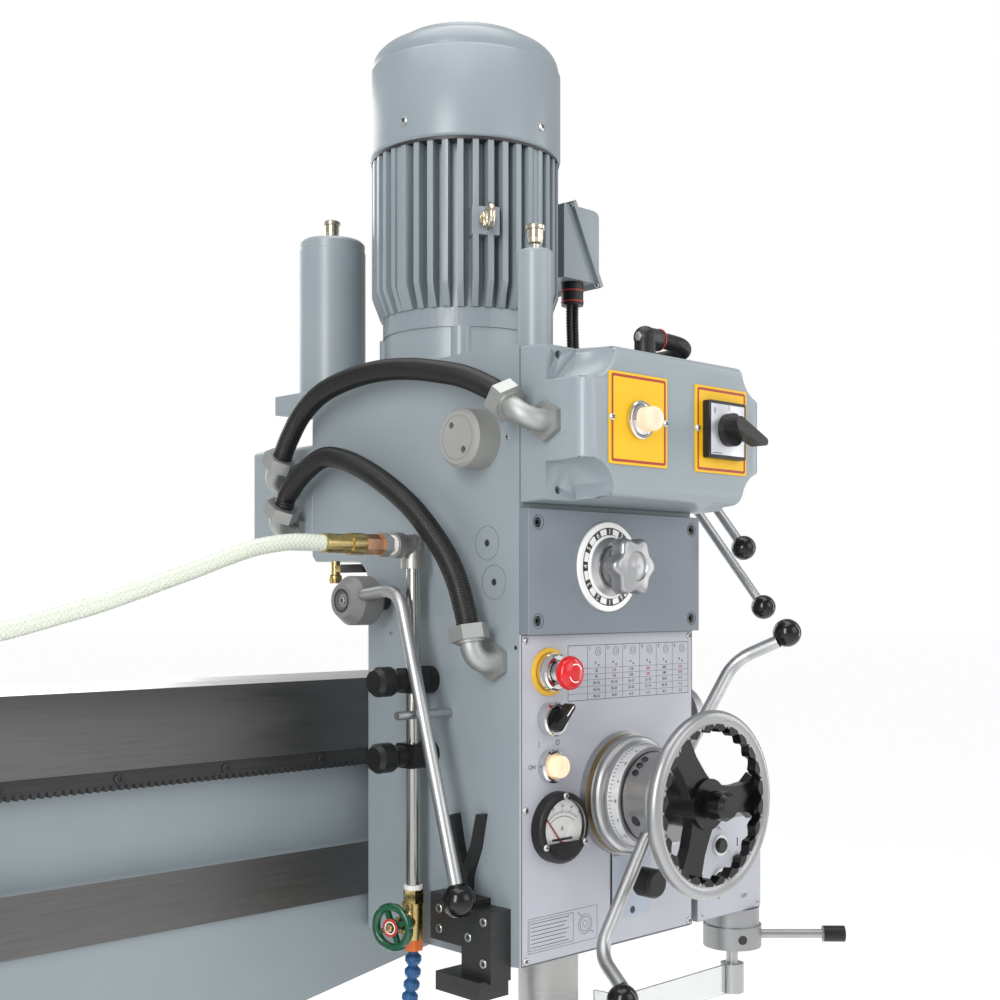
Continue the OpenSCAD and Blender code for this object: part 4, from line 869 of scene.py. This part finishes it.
def way_face(c, n):
    """Ground faces of the arm: the two front ways, which take the darker copy of ground steel as painted
    shade.
    """
    return near(c.y, -0.090) and n.y < -0.9 and c.z > 1.2625 and c.x > 0.19


def box_floor(p):
    """Places on the floors of the control box's corner scoops and in their screw holes."""
    return 0.029 < HEAD_FRONT - p.y < 0.0425


def from_hub(c):
    """Distance of a place from the axis of the feed hub."""
    return math.hypot(c.x - HEAD_LEFT - HUB[0], c.z - HUB[1])


def finishes():
    for look, group in NODE_LOOKS:
        for node in group:
            dress(node, look)
    for node, width in (("head_casting", 0.005), ("junction_box", 0.003), ("button_box", 0.004)):
        softened(node, width, "machine_enamel")
    # The motor, its fan cover and terminal box take the darker copy of the machine enamel as painted shade
    for node, width in (("terminal_box", 0.003), ("motor_frame", 0.0016), ("fan_cover", 0.0016)):
        softened(node, width, "machine_enamel_shaded")
    softened("control_box", 0.003, "machine_enamel", segments=4, spare=box_floor)
    # The base's top and the arm's ways take the darker copy of ground steel, the arm's top the lighter one:
    # painted shade and painted light
    softened("base_plate", 0.005, "machine_enamel", ("ground_steel_shaded", level_at(0.180)))
    softened("arm_casting", 0.003, "machine_enamel", ("ground_steel_shaded", way_face),
             ("ground_steel_lit", level_at(1.543)))
    softened("speed_plate", 0.0022, "plate_enamel", ("white_face", ahead_of(PLATE + 0.0005)))
    softened("conduit_fittings", 0.0009, "zinc_cast", ("black_moulding", past(0.95)))
    dress("control_panel", "panel_lacquer", ("feed_plate", ahead_of(PANEL + 0.0003)))
    dress("switch_plates", "yellow_plate", ("black_moulding", ahead_of(BOX_FRONT + 0.0021)))
    dress("power_lamp", "warm_lens", ("bright_chrome", behind(BOX_FRONT + 0.0105)))
    dress("panel_rings", "bright_chrome", ("turned_steel", lambda c, n: abs(c.x - HEAD_LEFT - HUB[0]) < 0.08))
    dress("side_fittings", "cap_grey", ("bar_steel", lambda c, n: c.z < 1.6))
    dress("coolant_pipe", "pipe_chrome", ("iron_elbow", lambda c, n: c.z > 1.6815))
    dress("coolant_fittings", "brass_turned",
          ("zinc_cast", lambda c, n: 0.7125 < c.x < 0.7265 and c.z > 1.6),
          ("copper_nut", lambda c, n: 0.6865 < c.x < 0.7131 and c.z > 1.6),
          ("orange_cup", lambda c, n: c.z < 1.2325))
    dress("feed_hub", "turned_steel", ("bronze_band", behind(0.0183)),
          ("dial_band", lambda c, n: HEAD_FRONT - 0.0507 < c.y < HEAD_FRONT - 0.0350 and n.y > -0.9))
    dress("handwheel", "black_cast", ("knob_silver", lambda c, n: from_hub(c) > 0.0925))
    dress("feed_selector", "knob_silver", ("black_moulding", lambda c, n: c.x < HEAD_RIGHT + 0.0204))
    dress("valve_wheel", "green_wheel", ("brass_turned", lambda c, n: (c - VALVE).dot(VALVE_STEM) < 0.0379))
    dress("feed_trip_knob", "black_moulding", ("bar_steel", behind(PANEL + 0.0151)))
    dress("direction_ring", "knob_silver", ("black_moulding", past(1.3285)))
    dress("chip_guard", "clear_shield", ("bar_steel", past(1.2225)))


# Levers and knobs with easy bends and rounded lobes

def feed_levers():
    """Two bent levers on the feed hub with ball knobs."""
    bars, balls = [], []
    for k in range(2):
        place = on_front(*HUB) @ turn(-38 + 180 * k)
        route = [place @ Vector(p) for p in ((0, 0.044, 0.0703), (0, 0.205, 0.080), (0, 0.237, 0.1325))]
        bars.append(bent_rod(route, 0.008, 0.026))
        balls.append(ball(0.0175, place @ Vector((0, 0.250, 0.140))))
    levers = piece("feed_lever_bars", "feed", [("bar_steel", bars), ("black_ball", balls)])
    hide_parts("feed_levers")


def clutch_lever():
    """Hub with a dished end, bent bar and ball knob on the left side."""
    axis = on_left(*CLUTCH)
    hub = lathe([(0, 0.020), (0.024, 0.020), (0.031, 0.028), (0.031, 0.056), (0.021, 0.070), (0.0115, 0.070),
                 (0.0115, 0.066), (0, 0.066)], axis, 64)
    shaft = lathe([(0, -0.058), (0.012, -0.058), (0.012, 0.022), (0, 0.022)], axis)
    x = HEAD_LEFT - 0.056
    tip = Vector((x, HEAD_FRONT + 0.042, 1.300))
    route = [(x, HEAD_FRONT + 0.227, 1.649), (x, HEAD_FRONT + 0.150, 1.658), tip + Vector((0, 0.005, 0.016))]
    lever = piece("clutch_lever_bar", "clutch", [
        ("bar_steel", [bent_rod(route, 0.008, 0.030)]), ("cast_grey", [hub]), ("black_oxide", [shaft]),
        ("black_ball", [ball(0.020, tip)])])
    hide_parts("clutch_lever")


def shift_levers():
    """Two straight levers on the right side of the head, each with a ball knob."""
    for node, hub, end, out in (("shift_lever_front", (0.062, 1.834), (-0.040, 1.712), 0.062),
                                ("shift_lever_rear", (0.118, 1.834), (-0.050, 1.634), 0.092)):
        axis = on_right(*hub)
        boss = lathe([(0, -0.028), (0.009, -0.028), (0.009, 0.0042), (0.0155, 0.0042), (0.017, 0.0057),
                      (0.017, out + 0.0105), (0.0155, out + 0.012), (0, out + 0.012)], axis)
        start = axis @ Vector((0, 0, out))
        tip = on_right(*end, out).translation
        rod = swept([start, tip + 0.012 * (start - tip).normalized()], lambda k: 0.006, 32)
        parts = [("bar_steel", [boss, rod]), ("black_ball", [ball(0.016, tip)])]
        lever = piece(node + "_bar", body_of(node), parts)
        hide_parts(node)


def speed_knob():
    """Six-lobed knob with rounded shoulders and a sunk cap."""
    levels = [(0.0072, 0.0235, 0.0), (0.0080, 0.0250, 0.0), (0.0200, 0.0250, 0.001), (0.0238, 0.0270, 0.002),
              (0.0262, 0.0310, 0.0036), (0.0290, 0.0330, 0.0040), (0.0420, 0.0330, 0.0040),
              (0.0455, 0.0318, 0.0036), (0.0475, 0.0295, 0.0030), (0.0483, 0.0262, 0.0018),
              (0.0485, 0.0200, 0.0), (0.0489, 0.0190, 0.0), (0.0489, 0.0176, 0.0), (0.0470, 0.0166, 0.0),
              (0.0470, 0.0040, 0.0), (0.0476, 0.0030, 0.0)]
    grip = lobed(levels, 6, on_front(*DIAL, PLATE))
    knob = piece("speed_knob_grip", "speed", [("knob_silver", [grip])], angle=50)
    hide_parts("speed_knob")


def estop_cap():
    """Mushroom cap on a bright stem."""
    place = on_front(*ESTOP, PANEL)
    cap = [(0, 0.0446), (0.0060, 0.0444), (0.0110, 0.0438), (0.0150, 0.0425), (0.0180, 0.0402),
           (0.0195, 0.0372), (0.0198, 0.0340), (0.0188, 0.0305), (0.0165, 0.0275), (0.0135, 0.0255),
           (0.0118, 0.0240), (0, 0.0240)]
    stem = [(0, 0.0242), (0.0118, 0.0242), (0.0118, 0.0072), (0, 0.0072)]
    button = piece("estop_mushroom", "estop", [
        ("red_button", [lathe(cap, place, 64)]), ("bright_chrome", [lathe(stem, place)])])
    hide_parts("estop_button")


# Screws, prints and trim

def front_screws():
    """Pan heads of the panel, the plates and the ammeter; socket heads in the speed plate."""
    panel = [(0.0042, on_front(a, z, PANEL)) for z in (1.597, 1.227, 1.401) for a in (0.007, 0.305)]
    switches = [(0.0046, on_front(a, LAMP[1], SWITCH_PLATE)) for a in (0.0395, 0.1325, 0.1925, 0.2855)]
    buttons = [(0.003, on_front(a, z, BUTTON_PLATE)) for a in (0.335, 0.458) for z in (1.228, 1.342)]
    bezel = on_front(*AMMETER, PANEL + 0.0158)
    meter = [(0.0042, bezel @ turn(angle) @ shift(0.038, 0)) for angle in (90, 210, 330)]
    heads, slots = screw_set(pan_screw(radius, place) for radius, place in panel + switches + buttons + meter)
    piece("front_screws", "head", [("screw_zinc", heads), ("dark_screw_and_slot_shade", slots)])
    corners = [(a, z) for a in (0.016, 0.296) for z in (1.620, 1.734)]
    caps, floors = screw_set(socket_screw(0.0052, 0.0062, on_front(a, z, PLATE - 0.0080)) for a, z in corners)
    rims = [ring(0.0088, 0.0081, 0.0003, on_front(a, z, PLATE), 0.0001) for a, z in corners]
    piece("plate_screws", "head", [("dark_screw_and_slot_shade", caps), ("black_print_and_shade", floors + rims)])


def motor_screws():
    """Screws round the lower edge of the fan cover, and a black ring under the cover painted as the shadow in
    the gap there.
    """
    heads, slots = screw_set(pan_screw(0.0055, shift(*MOTOR, 2.262) @ turn(angle) @ on_barrel(0.130))
                             for angle in (10.8, 100.8, 190.8, 277.8))
    piece("cover_screws", "head", [("screw_zinc", heads), ("dark_screw_and_slot_shade", slots)])
    # Black ring under the fan cover: painted shadow in the gap between the cover and the fins
    gap = ring(0.1278, 0.108, 0.0038, shift(*MOTOR, 2.2324), segments=96)
    piece("cover_gap_shadow", "head", [("black_print_and_shade", [gap])])


def speed_dial():
    """Number ring round the speed knob: white figures on black blocks, and a steel cone inside it."""
    place = on_front(*DIAL, PLATE + 0.004)
    blocks, figures = [], []
    for k in range(12):
        angle = 90 - 30 * k
        blocks.append(arc_band(0.0385, 0.0465, angle - 7.5, angle + 7.5, place, steps=5))
        spot = place @ turn(angle) @ shift(0.0425, 0, PRINT) @ turn(-90)
        figures.append(figure(str(k % 6 + 1), 0.0092, spot))
    rims = [circle_band(0.0374, 0.0390, place, 48), circle_band(0.0460, 0.0473, place, 48)]
    piece("speed_dial_print", "head", [("black_print_and_shade", blocks + rims), ("white_face", figures)])
    cone = [(0.0262, 0.0), (0.0376, 0.0), (0.0376, 0.0012), (0.0295, 0.0086), (0.0262, 0.0086), (0.0262, 0.0)]
    piece("speed_dial_ring", "head", [("turned_steel", [lathe(cone, place, 64)])])


def switch_trim():
    """Borders of the yellow plates, the lamp bezel and the switch face."""
    lines = []
    for centre in (LAMP, MAIN_SWITCH):
        lines += frame_lines(0.0910, 0.0955, 0.0030, on_front(*centre, SWITCH_PLATE))
    switch = on_front(*MAIN_SWITCH, BOX_FRONT + 0.011)
    top = switch @ shift(0, 0, 0.0006)
    marks = [figure(words, 0.009, top @ shift(x, y))
             for words, x, y in (("0", -0.026, 0.022), ("1", 0.002, 0.0275))]
    marks.append(bar((-0.030, -0.0285), (-0.012, -0.0285), 0.0009, top))
    piece("switch_trim", "head", [
        ("red_print", lines),
        ("silver_face", [block((0.065, 0.061, 0.0006), switch, 0.0001)]),
        ("black_print_and_shade", marks),
        ("bright_chrome", [ring(0.0220, 0.0172, 0.006, on_front(*LAMP, SWITCH_PLATE), 0.0012)])])


SPEED_ROWS = (
    (1.5580, "70 110 170 260 400 610"),
    (1.5510, "95 150 230 350 540 830"),
    (1.5435, "45-35 25-18 16-12 13-10 18-8 6-3"),
    (1.5355, "65-36 28-25 25-32 22-15 18-10 7-3"),
    (1.5275, "28-16 16-8 6-3 5-3 4-2 3-2"),
)
THIN = 0.0004


def panel_print():
    """Printed speed table with plain figures, switch marks and a small setting diagram, and a dark outline
    round the panel painted as the shadow in its gap.
    """
    face = on_front(0, 0, PANEL)
    left, right, low, high = 0.078, 0.304, 1.5235, 1.5895
    first = left + 0.034
    cell = (right - first) / 6
    middle = face @ shift((left + right) / 2, (low + high) / 2)
    strokes = frame_lines(right - left, high - low, 0.0007, middle)
    strokes += [bar((left, z), (right, z), THIN, face) for z in (1.5615, 1.5545, 1.5475, 1.5395, 1.5315)]
    figures, reds = [], []
    for k in range(6):
        x = first + cell * k
        knob = face @ shift(x + 0.6 * cell, 1.5815)
        strokes.append(bar((x, low), (x, high), THIN, face))
        strokes += [circle_band(0.0048, 0.0053, knob, 24), circle_band(0.0022, 0.0026, knob, 20)]
        dots = strokes if k % 2 else reds
        dots.append(circle_band(0.0, 0.0013, face @ shift(x + 0.45 * cell, 1.5680), 12))
        strokes.append(circle_band(0.0, 0.0013, face @ shift(x + 0.62 * cell, 1.5650), 12))
        figures.append(figure(str(k + 1), 0.0065, face @ shift(x + 0.0045, 1.5855)))
    for z, row in SPEED_ROWS:
        for k, words in enumerate(row.split()):
            mark = figure(words, 0.0052, face @ shift(first + cell * (k + 0.5), z))
            (reds if z > 1.549 and k % 2 else figures).append(mark)
    # Dark outline round the whole panel: painted shadow in the gap at its edge
    strokes += frame_lines(0.3108, 0.3818, 0.0012, face @ shift(0.156, 1.4125))
    figures.append(figure("O", 0.009, face @ shift(0.060, 1.476)))
    strokes.append(bar((0.029, 1.472), (0.029, 1.480), 0.0009, face))
    figures.append(figure("ON", 0.0075, face @ shift(0.0175, 1.450)))
    strokes += frame_lines(0.118, 0.040, THIN, face @ shift(0.070, 1.2545))
    strokes += frame_lines(0.074, 0.034, THIN, face @ shift(0.050, 1.2545))
    for k in range(7):
        z = 1.2685 - 0.0046 * k
        strokes.append(bar((0.016, z), (0.080 - 0.004 * (k % 3), z), 0.0007, face))
    for inner, outer in ((0.0038, 0.0042), (0.0085, 0.0090), (0.0115, 0.0120)):
        strokes.append(circle_band(inner, outer, face @ shift(0.108, 1.2545), 28))
    strokes.append(bar((0.100, 1.2655), (0.095, 1.2705), 0.0008, face))
    strokes.append(bar((0.117, 1.2455), (0.123, 1.2425), 0.0008, face))
    piece("panel_print", "head", [("black_print_and_shade", figures), ("grey_print_and_shade", strokes), ("red_print", reds)])


def feed_plate_shade():
    """Painted shade: a dark bar in the slot beside the feed plate and a dark disc in the hole under its knob.
    """
    slot = block((0.0034, 0.108, 0.0003), on_front(0.1545, 1.290, PANEL), 0)
    hole = disc(0.0042, 0.0046, 0.0004, on_front(0.193, 1.2585, PANEL + 0.0015), 24)
    piece("feed_plate_shade", "head", [("black_print_and_shade", [slot, hole])])


def ammeter_face():
    """White dial with an arc scale, a dark lower mask and a glass."""
    radius = 0.0338
    face = on_front(*AMMETER, PANEL + 0.009)
    top = face @ shift(0, 0, 0.0002)
    pivot = top @ shift(0, -0.020)
    marks = [arc_band(inner, outer, 50, 130, pivot, 24)
             for inner, outer in ((0.0378, 0.0382), (0.0330, 0.0337))]
    for k in range(21):
        place = pivot @ turn(130 - 4 * k)
        end, width = (0.0405, 0.0003) if k % 5 else (0.0425, 0.0005)
        marks.append(bar((0.0382, 0), (end, 0), width, place))
        if k % 5 == 0:
            marks.append(figure(str(2 * k), 0.0048, place @ shift(0.0455, 0) @ turn(-90)))
    marks.append(figure("A", 0.008, top @ shift(0, -0.001)))
    marks.append(bar((-0.017, -0.0135), (0.017, -0.0135), 0.003, top))
    mask = bmesh.new()
    bmesh.ops.create_circle(mask, cap_ends=True, segments=64, radius=0.0336)
    bmesh.ops.bisect_plane(mask, geom=mask.verts[:] + mask.edges[:] + mask.faces[:],
                           plane_co=(0, -0.0165, 0), plane_no=(0, 1, 0), clear_outer=True)
    bmesh.ops.solidify(mask, geom=mask.faces[:], thickness=0.0036)
    bmesh.ops.recalc_face_normals(mask, faces=mask.faces)
    mask.transform(face)
    front = min(v.co.y for v in mask.verts)
    bmesh.ops.translate(mask, vec=(0, HEAD_FRONT - PANEL - 0.0164 - front, 0), verts=mask.verts)
    piece("ammeter_dial", "head", [
        ("white_face", [disc(radius, radius, 0.0002, face, 64)]),
        ("black_print_and_shade", marks),
        ("black_moulding", [mask])])
    glass = disc(radius, radius, 0.0012, on_front(*AMMETER, PANEL + 0.0142), 64)
    piece("ammeter_glass", "head", [("clear_lens", [glass])])


def button_trim():
    """Collars of the panel's buttons, arrow arcs on the emergency cap and the selector's grip line."""
    yellow = [ring(0.0282, 0.0228, 0.0026, on_front(*ESTOP, PANEL))]
    collars = [ring(0.0215, 0.0126, 0.0165, on_front(*ESTOP, PANEL), 0.002),
               ring(0.0200, 0.0134, 0.0140, on_front(*SELECTOR, PANEL), 0.002),
               ring(0.0200, 0.0134, 0.0105, on_front(*START, PANEL), 0.002)]
    piece("estop_collar", "head", [("yellow_ring", yellow), ("bright_chrome", collars)])
    cap = on_front(*ESTOP, PANEL + 0.0439)
    arcs = [arc_band(0.0098, 0.0110, first, first + 95, cap, 12) for first in (20, 200)]
    piece("estop_arrows", "estop", [("white_face", arcs)])
    grip = on_front(*SELECTOR, PANEL + 0.0254) @ turn(45)
    piece("selector_line", "selector", [("white_face", [bar((0.006, 0), (0.0215, 0), 0.0016, grip)])])
    wires = [ring(0.0128, 0.0106, 0.0012, on_front(*START, PANEL + 0.0196)),
             ring(0.0072, 0.0052, 0.0008, on_front(*START, PANEL + 0.0208))]
    piece("start_rings", "start", [("warm_lens", wires)])


def button_plate():
    """Plate of the button box with its marks."""
    signs = []
    for z, foot, tip in ((1.336, 0, 0.005), (1.2445, 0.005, 0)):
        signs += [bar((x, foot), (0, tip), 0.0012, on_front(0.372, z, BUTTON_PLATE)) for x in (-0.004, 0.004)]
    for words, a, z in (("1", 0.395, 1.304), ("0", 0.431, 1.304), ("OFF", 0.428, 1.240)):
        signs.append(figure(words, 0.008, on_front(a, z, BUTTON_PLATE)))
    mark = bar((0, -0.006), (0, 0.006), 0.0022, on_front(0.413, 1.3155, BUTTON_PLATE))
    plate = block((0.138, 0.128, BUTTON_PLATE), on_front(0.3965, 1.285), 0.0002)
    piece("mode_mark", "head", [("green_wheel", [mark])])
    piece("button_marks", "head", [("black_print_and_shade", signs), ("panel_lacquer", [plate])])


def hub_scale():
    """Graduations and figures on the feed dial, and the dark screws of the hub."""
    centre = on_front(*HUB, 0.0123)
    slope = math.radians(9.5)
    marks = []
    for k in range(80):
        length = 0.0085 if k % 10 == 0 else (0.0062 if k % 5 == 0 else 0.0042)
        place = centre @ turn(4.5 * k) @ axes_at((0.0621, 0, 0.0245), (0, 0, 1), (0, 1, 0), (-1, 0, 0))
        place = place @ Matrix.Rotation(slope, 4, "Y") @ shift(length / 2, 0, -0.0003)
        marks.append(block((length, 0.0005, 0.0004), place, 0))
    for k in range(16):
        place = centre @ turn(22.5 * k) @ axes_at((0.0611, 0, 0.0348), (0, 1, 0), (0, 0, -1), (1, 0, 0))
        marks.append(figure(str(10 * k), 0.0042, place @ Matrix.Rotation(-slope, 4, "X")))
    holes, floors = screw_set(socket_screw(0.0042, 0.0025, centre @ turn(angle) @ on_barrel(0.0535, 0.050))
                              for angle in (118, 130, 142))
    # Black discs on the hub's side: painted shade in its holes
    floors += [disc(0.0065, 0.007, 0.0006, centre @ turn(angle) @ on_barrel(0.0536, 0.056), 24)
               for angle in (205, 25)]
    marks.append(ring(0.0548, 0.0535, 0.0016, centre @ shift(0, 0, 0.0384), 0.0001, 64))
    piece("feed_scale", "feed", [("black_print_and_shade", marks), ("dark_screw_and_slot_shade", holes), ("black_print_and_shade", floors)])


def side_trim():
    """Blanking discs, small screws and pins on the left side of the head."""
    blanks = [on_left(t, z) for t, z in ((0.0544, 1.7113), (0.0424, 1.6652))]
    rims = [ring(0.0205, 0.0198, 0.0004, place, 0.0001) for place in blanks]
    rims.append(ring(0.0262, 0.0255, 0.0003, on_left(0.066, 1.834, 0.037), 0.0001))
    # Black discs: painted shade in the dimples at the blanking discs' centres and at one more place
    dimples = [disc(0.0036, 0.0042, 0.0005, place, 20) for place in blanks]
    dimples.append(disc(0.0022, 0.0026, 0.0004, on_left(0.006, 1.589), 16))
    screws, slots = screw_set(pan_screw(0.0032, on_left(t, z))
                              for t, z in ((0.233, 1.6016), (0.0187, 1.8334)))
    piece("side_trim", "head", [
        ("cast_grey", rims), ("black_print_and_shade", dimples), ("screw_zinc", screws), ("dark_screw_and_slot_shade", slots)])


def clutch_trim():
    """Dished washer and socket screw in the end of the clutch hub."""
    end = on_left(*CLUTCH, 0.0660)
    screw, floor = socket_screw(0.0048, 0.0030, end @ shift(0, 0, 0.0006))
    piece("clutch_trim", "clutch", [
        ("black_oxide", [ring(0.0150, 0.0118, 0.0003, end @ shift(0, 0, 0.0040), 0.0001)]),
        ("cast_grey", [disc(0.0113, 0.0113, 0.0003, end, 32)]),
        ("zinc_cast", [ring(0.0088, 0.0030, 0.0012, end), screw]),
        ("black_print_and_shade", floor)])


def trip_trim():
    """Screws of the trip block."""
    places = ((0.026, 1.274, 0.032), (0.052, 1.252, 0.032), (0.026, 1.226, 0.032), (0.078, 1.276, 0.028),
              (0.108, 1.276, 0.028), (0.108, 1.252, 0.028))
    caps, floors = screw_set(socket_screw(0.0055, 0.0016, on_left(*place)) for place in places)
    piece("trip_screws", "head", [("screw_zinc", caps), ("black_print_and_shade", floors)])


def coolant_trim():
    """Tape at the threads of the coolant line and the disc of its valve."""
    tape = [ring(0.0122, 0.0085, 0.007, on_left(0.156, 1.710, 0.0605)),
            ring(0.0115, 0.0086, 0.006, shift(VALVE.x, VALVE.y, 1.2915))]
    piece("thread_tape", "head", [("white_tape", tape)])
    end = axes_at(VALVE, (0.2588, -0.9659, 0), (0, 0, 1), VALVE_STEM) @ shift(0, 0, 0.048)
    piece("valve_disc", "valve", [
        ("red_seal", [ring(0.0108, 0.0062, 0.0008, end)]),
        ("white_face", [ring(0.0078, 0.0062, 0.0010, end)]),
        ("brass_turned", [hexagon(0.0088, 0.0042, end)])])


def gland_trim():
    """Red seals of the black glands."""
    seals = [ring(0.0167, 0.012, 0.0022, shift(1.131, LEAD_Y, z)) for z in (2.0705, 2.0860)]
    seals.append(ring(0.0138, 0.010, 0.0018, shift(0.987, -0.415, 1.962) @ on_barrel(0)))
    piece("gland_seals", "head", [("red_seal", seals)])


def ring_trim():
    """Tommy-bar holes in the turning ring, drawn as black discs of painted shade."""
    axis = shift(1.239, -0.338, 1.180)
    holes = [disc(0.0058, 0.0064, 0.0004, axis @ turn(angle) @ on_barrel(0.0399), 24) for angle in (238, 330)]
    piece("ring_holes", "ring", [("black_print_and_shade", holes)])


def oil_fitting():
    """Small black block and brass elbow under the back of the head."""
    profile = [(0, 0), (0.0078, 0), (0.0085, 0.003), (0.0085, 0.010), (0.0062, 0.012), (0.0062, 0.030),
               (0, 0.030)]
    elbow = [lathe(profile, shift(0.800, -0.012, 1.6655), 24),
             block((0.009, 0.020, 0.009), shift(0.800, -0.022, 1.6805), 0.001)]
    arm = block((0.012, 0.050, 0.011), shift(0.800, -0.0545, 1.6795), 0.001)
    piece("oil_fitting", "head", [("black_moulding", [arm]), ("brass_turned", elbow)])


def lid_screws():
    """Screws at the corners of the slanting lid of the terminal box."""
    lid = shift(1.135, -0.105, 2.151) @ Matrix.Rotation(math.radians(-27), 4, "Y")
    places = [axes_at((-0.0035, y, z), (0, -1, 0), (0, 0, 1), (-1, 0, 0))
              for y in (-0.053, 0.053) for z in (-0.059, 0.059)]
    heads, slots = screw_set(pan_screw(0.0036, lid @ place) for place in places)
    piece("lid_screws", "head", [("screw_zinc", heads), ("dark_screw_and_slot_shade", slots)])


def arm_trim():
    """Cap screws that hold the rack, sunk in the recess under the upper way."""
    places = [axes_at((x, -0.0885, 1.4435), (1, 0, 0), (0, 0, 1), (0, -1, 0))
              for x in (0.30, 0.44, 0.58, 0.72, 0.86, 1.00, 1.12)]
    caps, floors = screw_set(socket_screw(0.0055, 0.0030, place) for place in places)
    piece("rack_screws", "arm", [("dark_screw_and_slot_shade", caps), ("black_print_and_shade", floors)])


for build in (camera_and_light, white_surround, pale_floor, coolant_hose, conduits, finishes, feed_levers,
              clutch_lever, shift_levers, speed_knob, estop_cap, front_screws, motor_screws, speed_dial,
              switch_trim, panel_print, feed_plate_shade, ammeter_face, button_trim, button_plate, hub_scale,
              side_trim, clutch_trim, trip_trim, coolant_trim, gland_trim, ring_trim, oil_fitting, lid_screws,
              arm_trim):
    build()
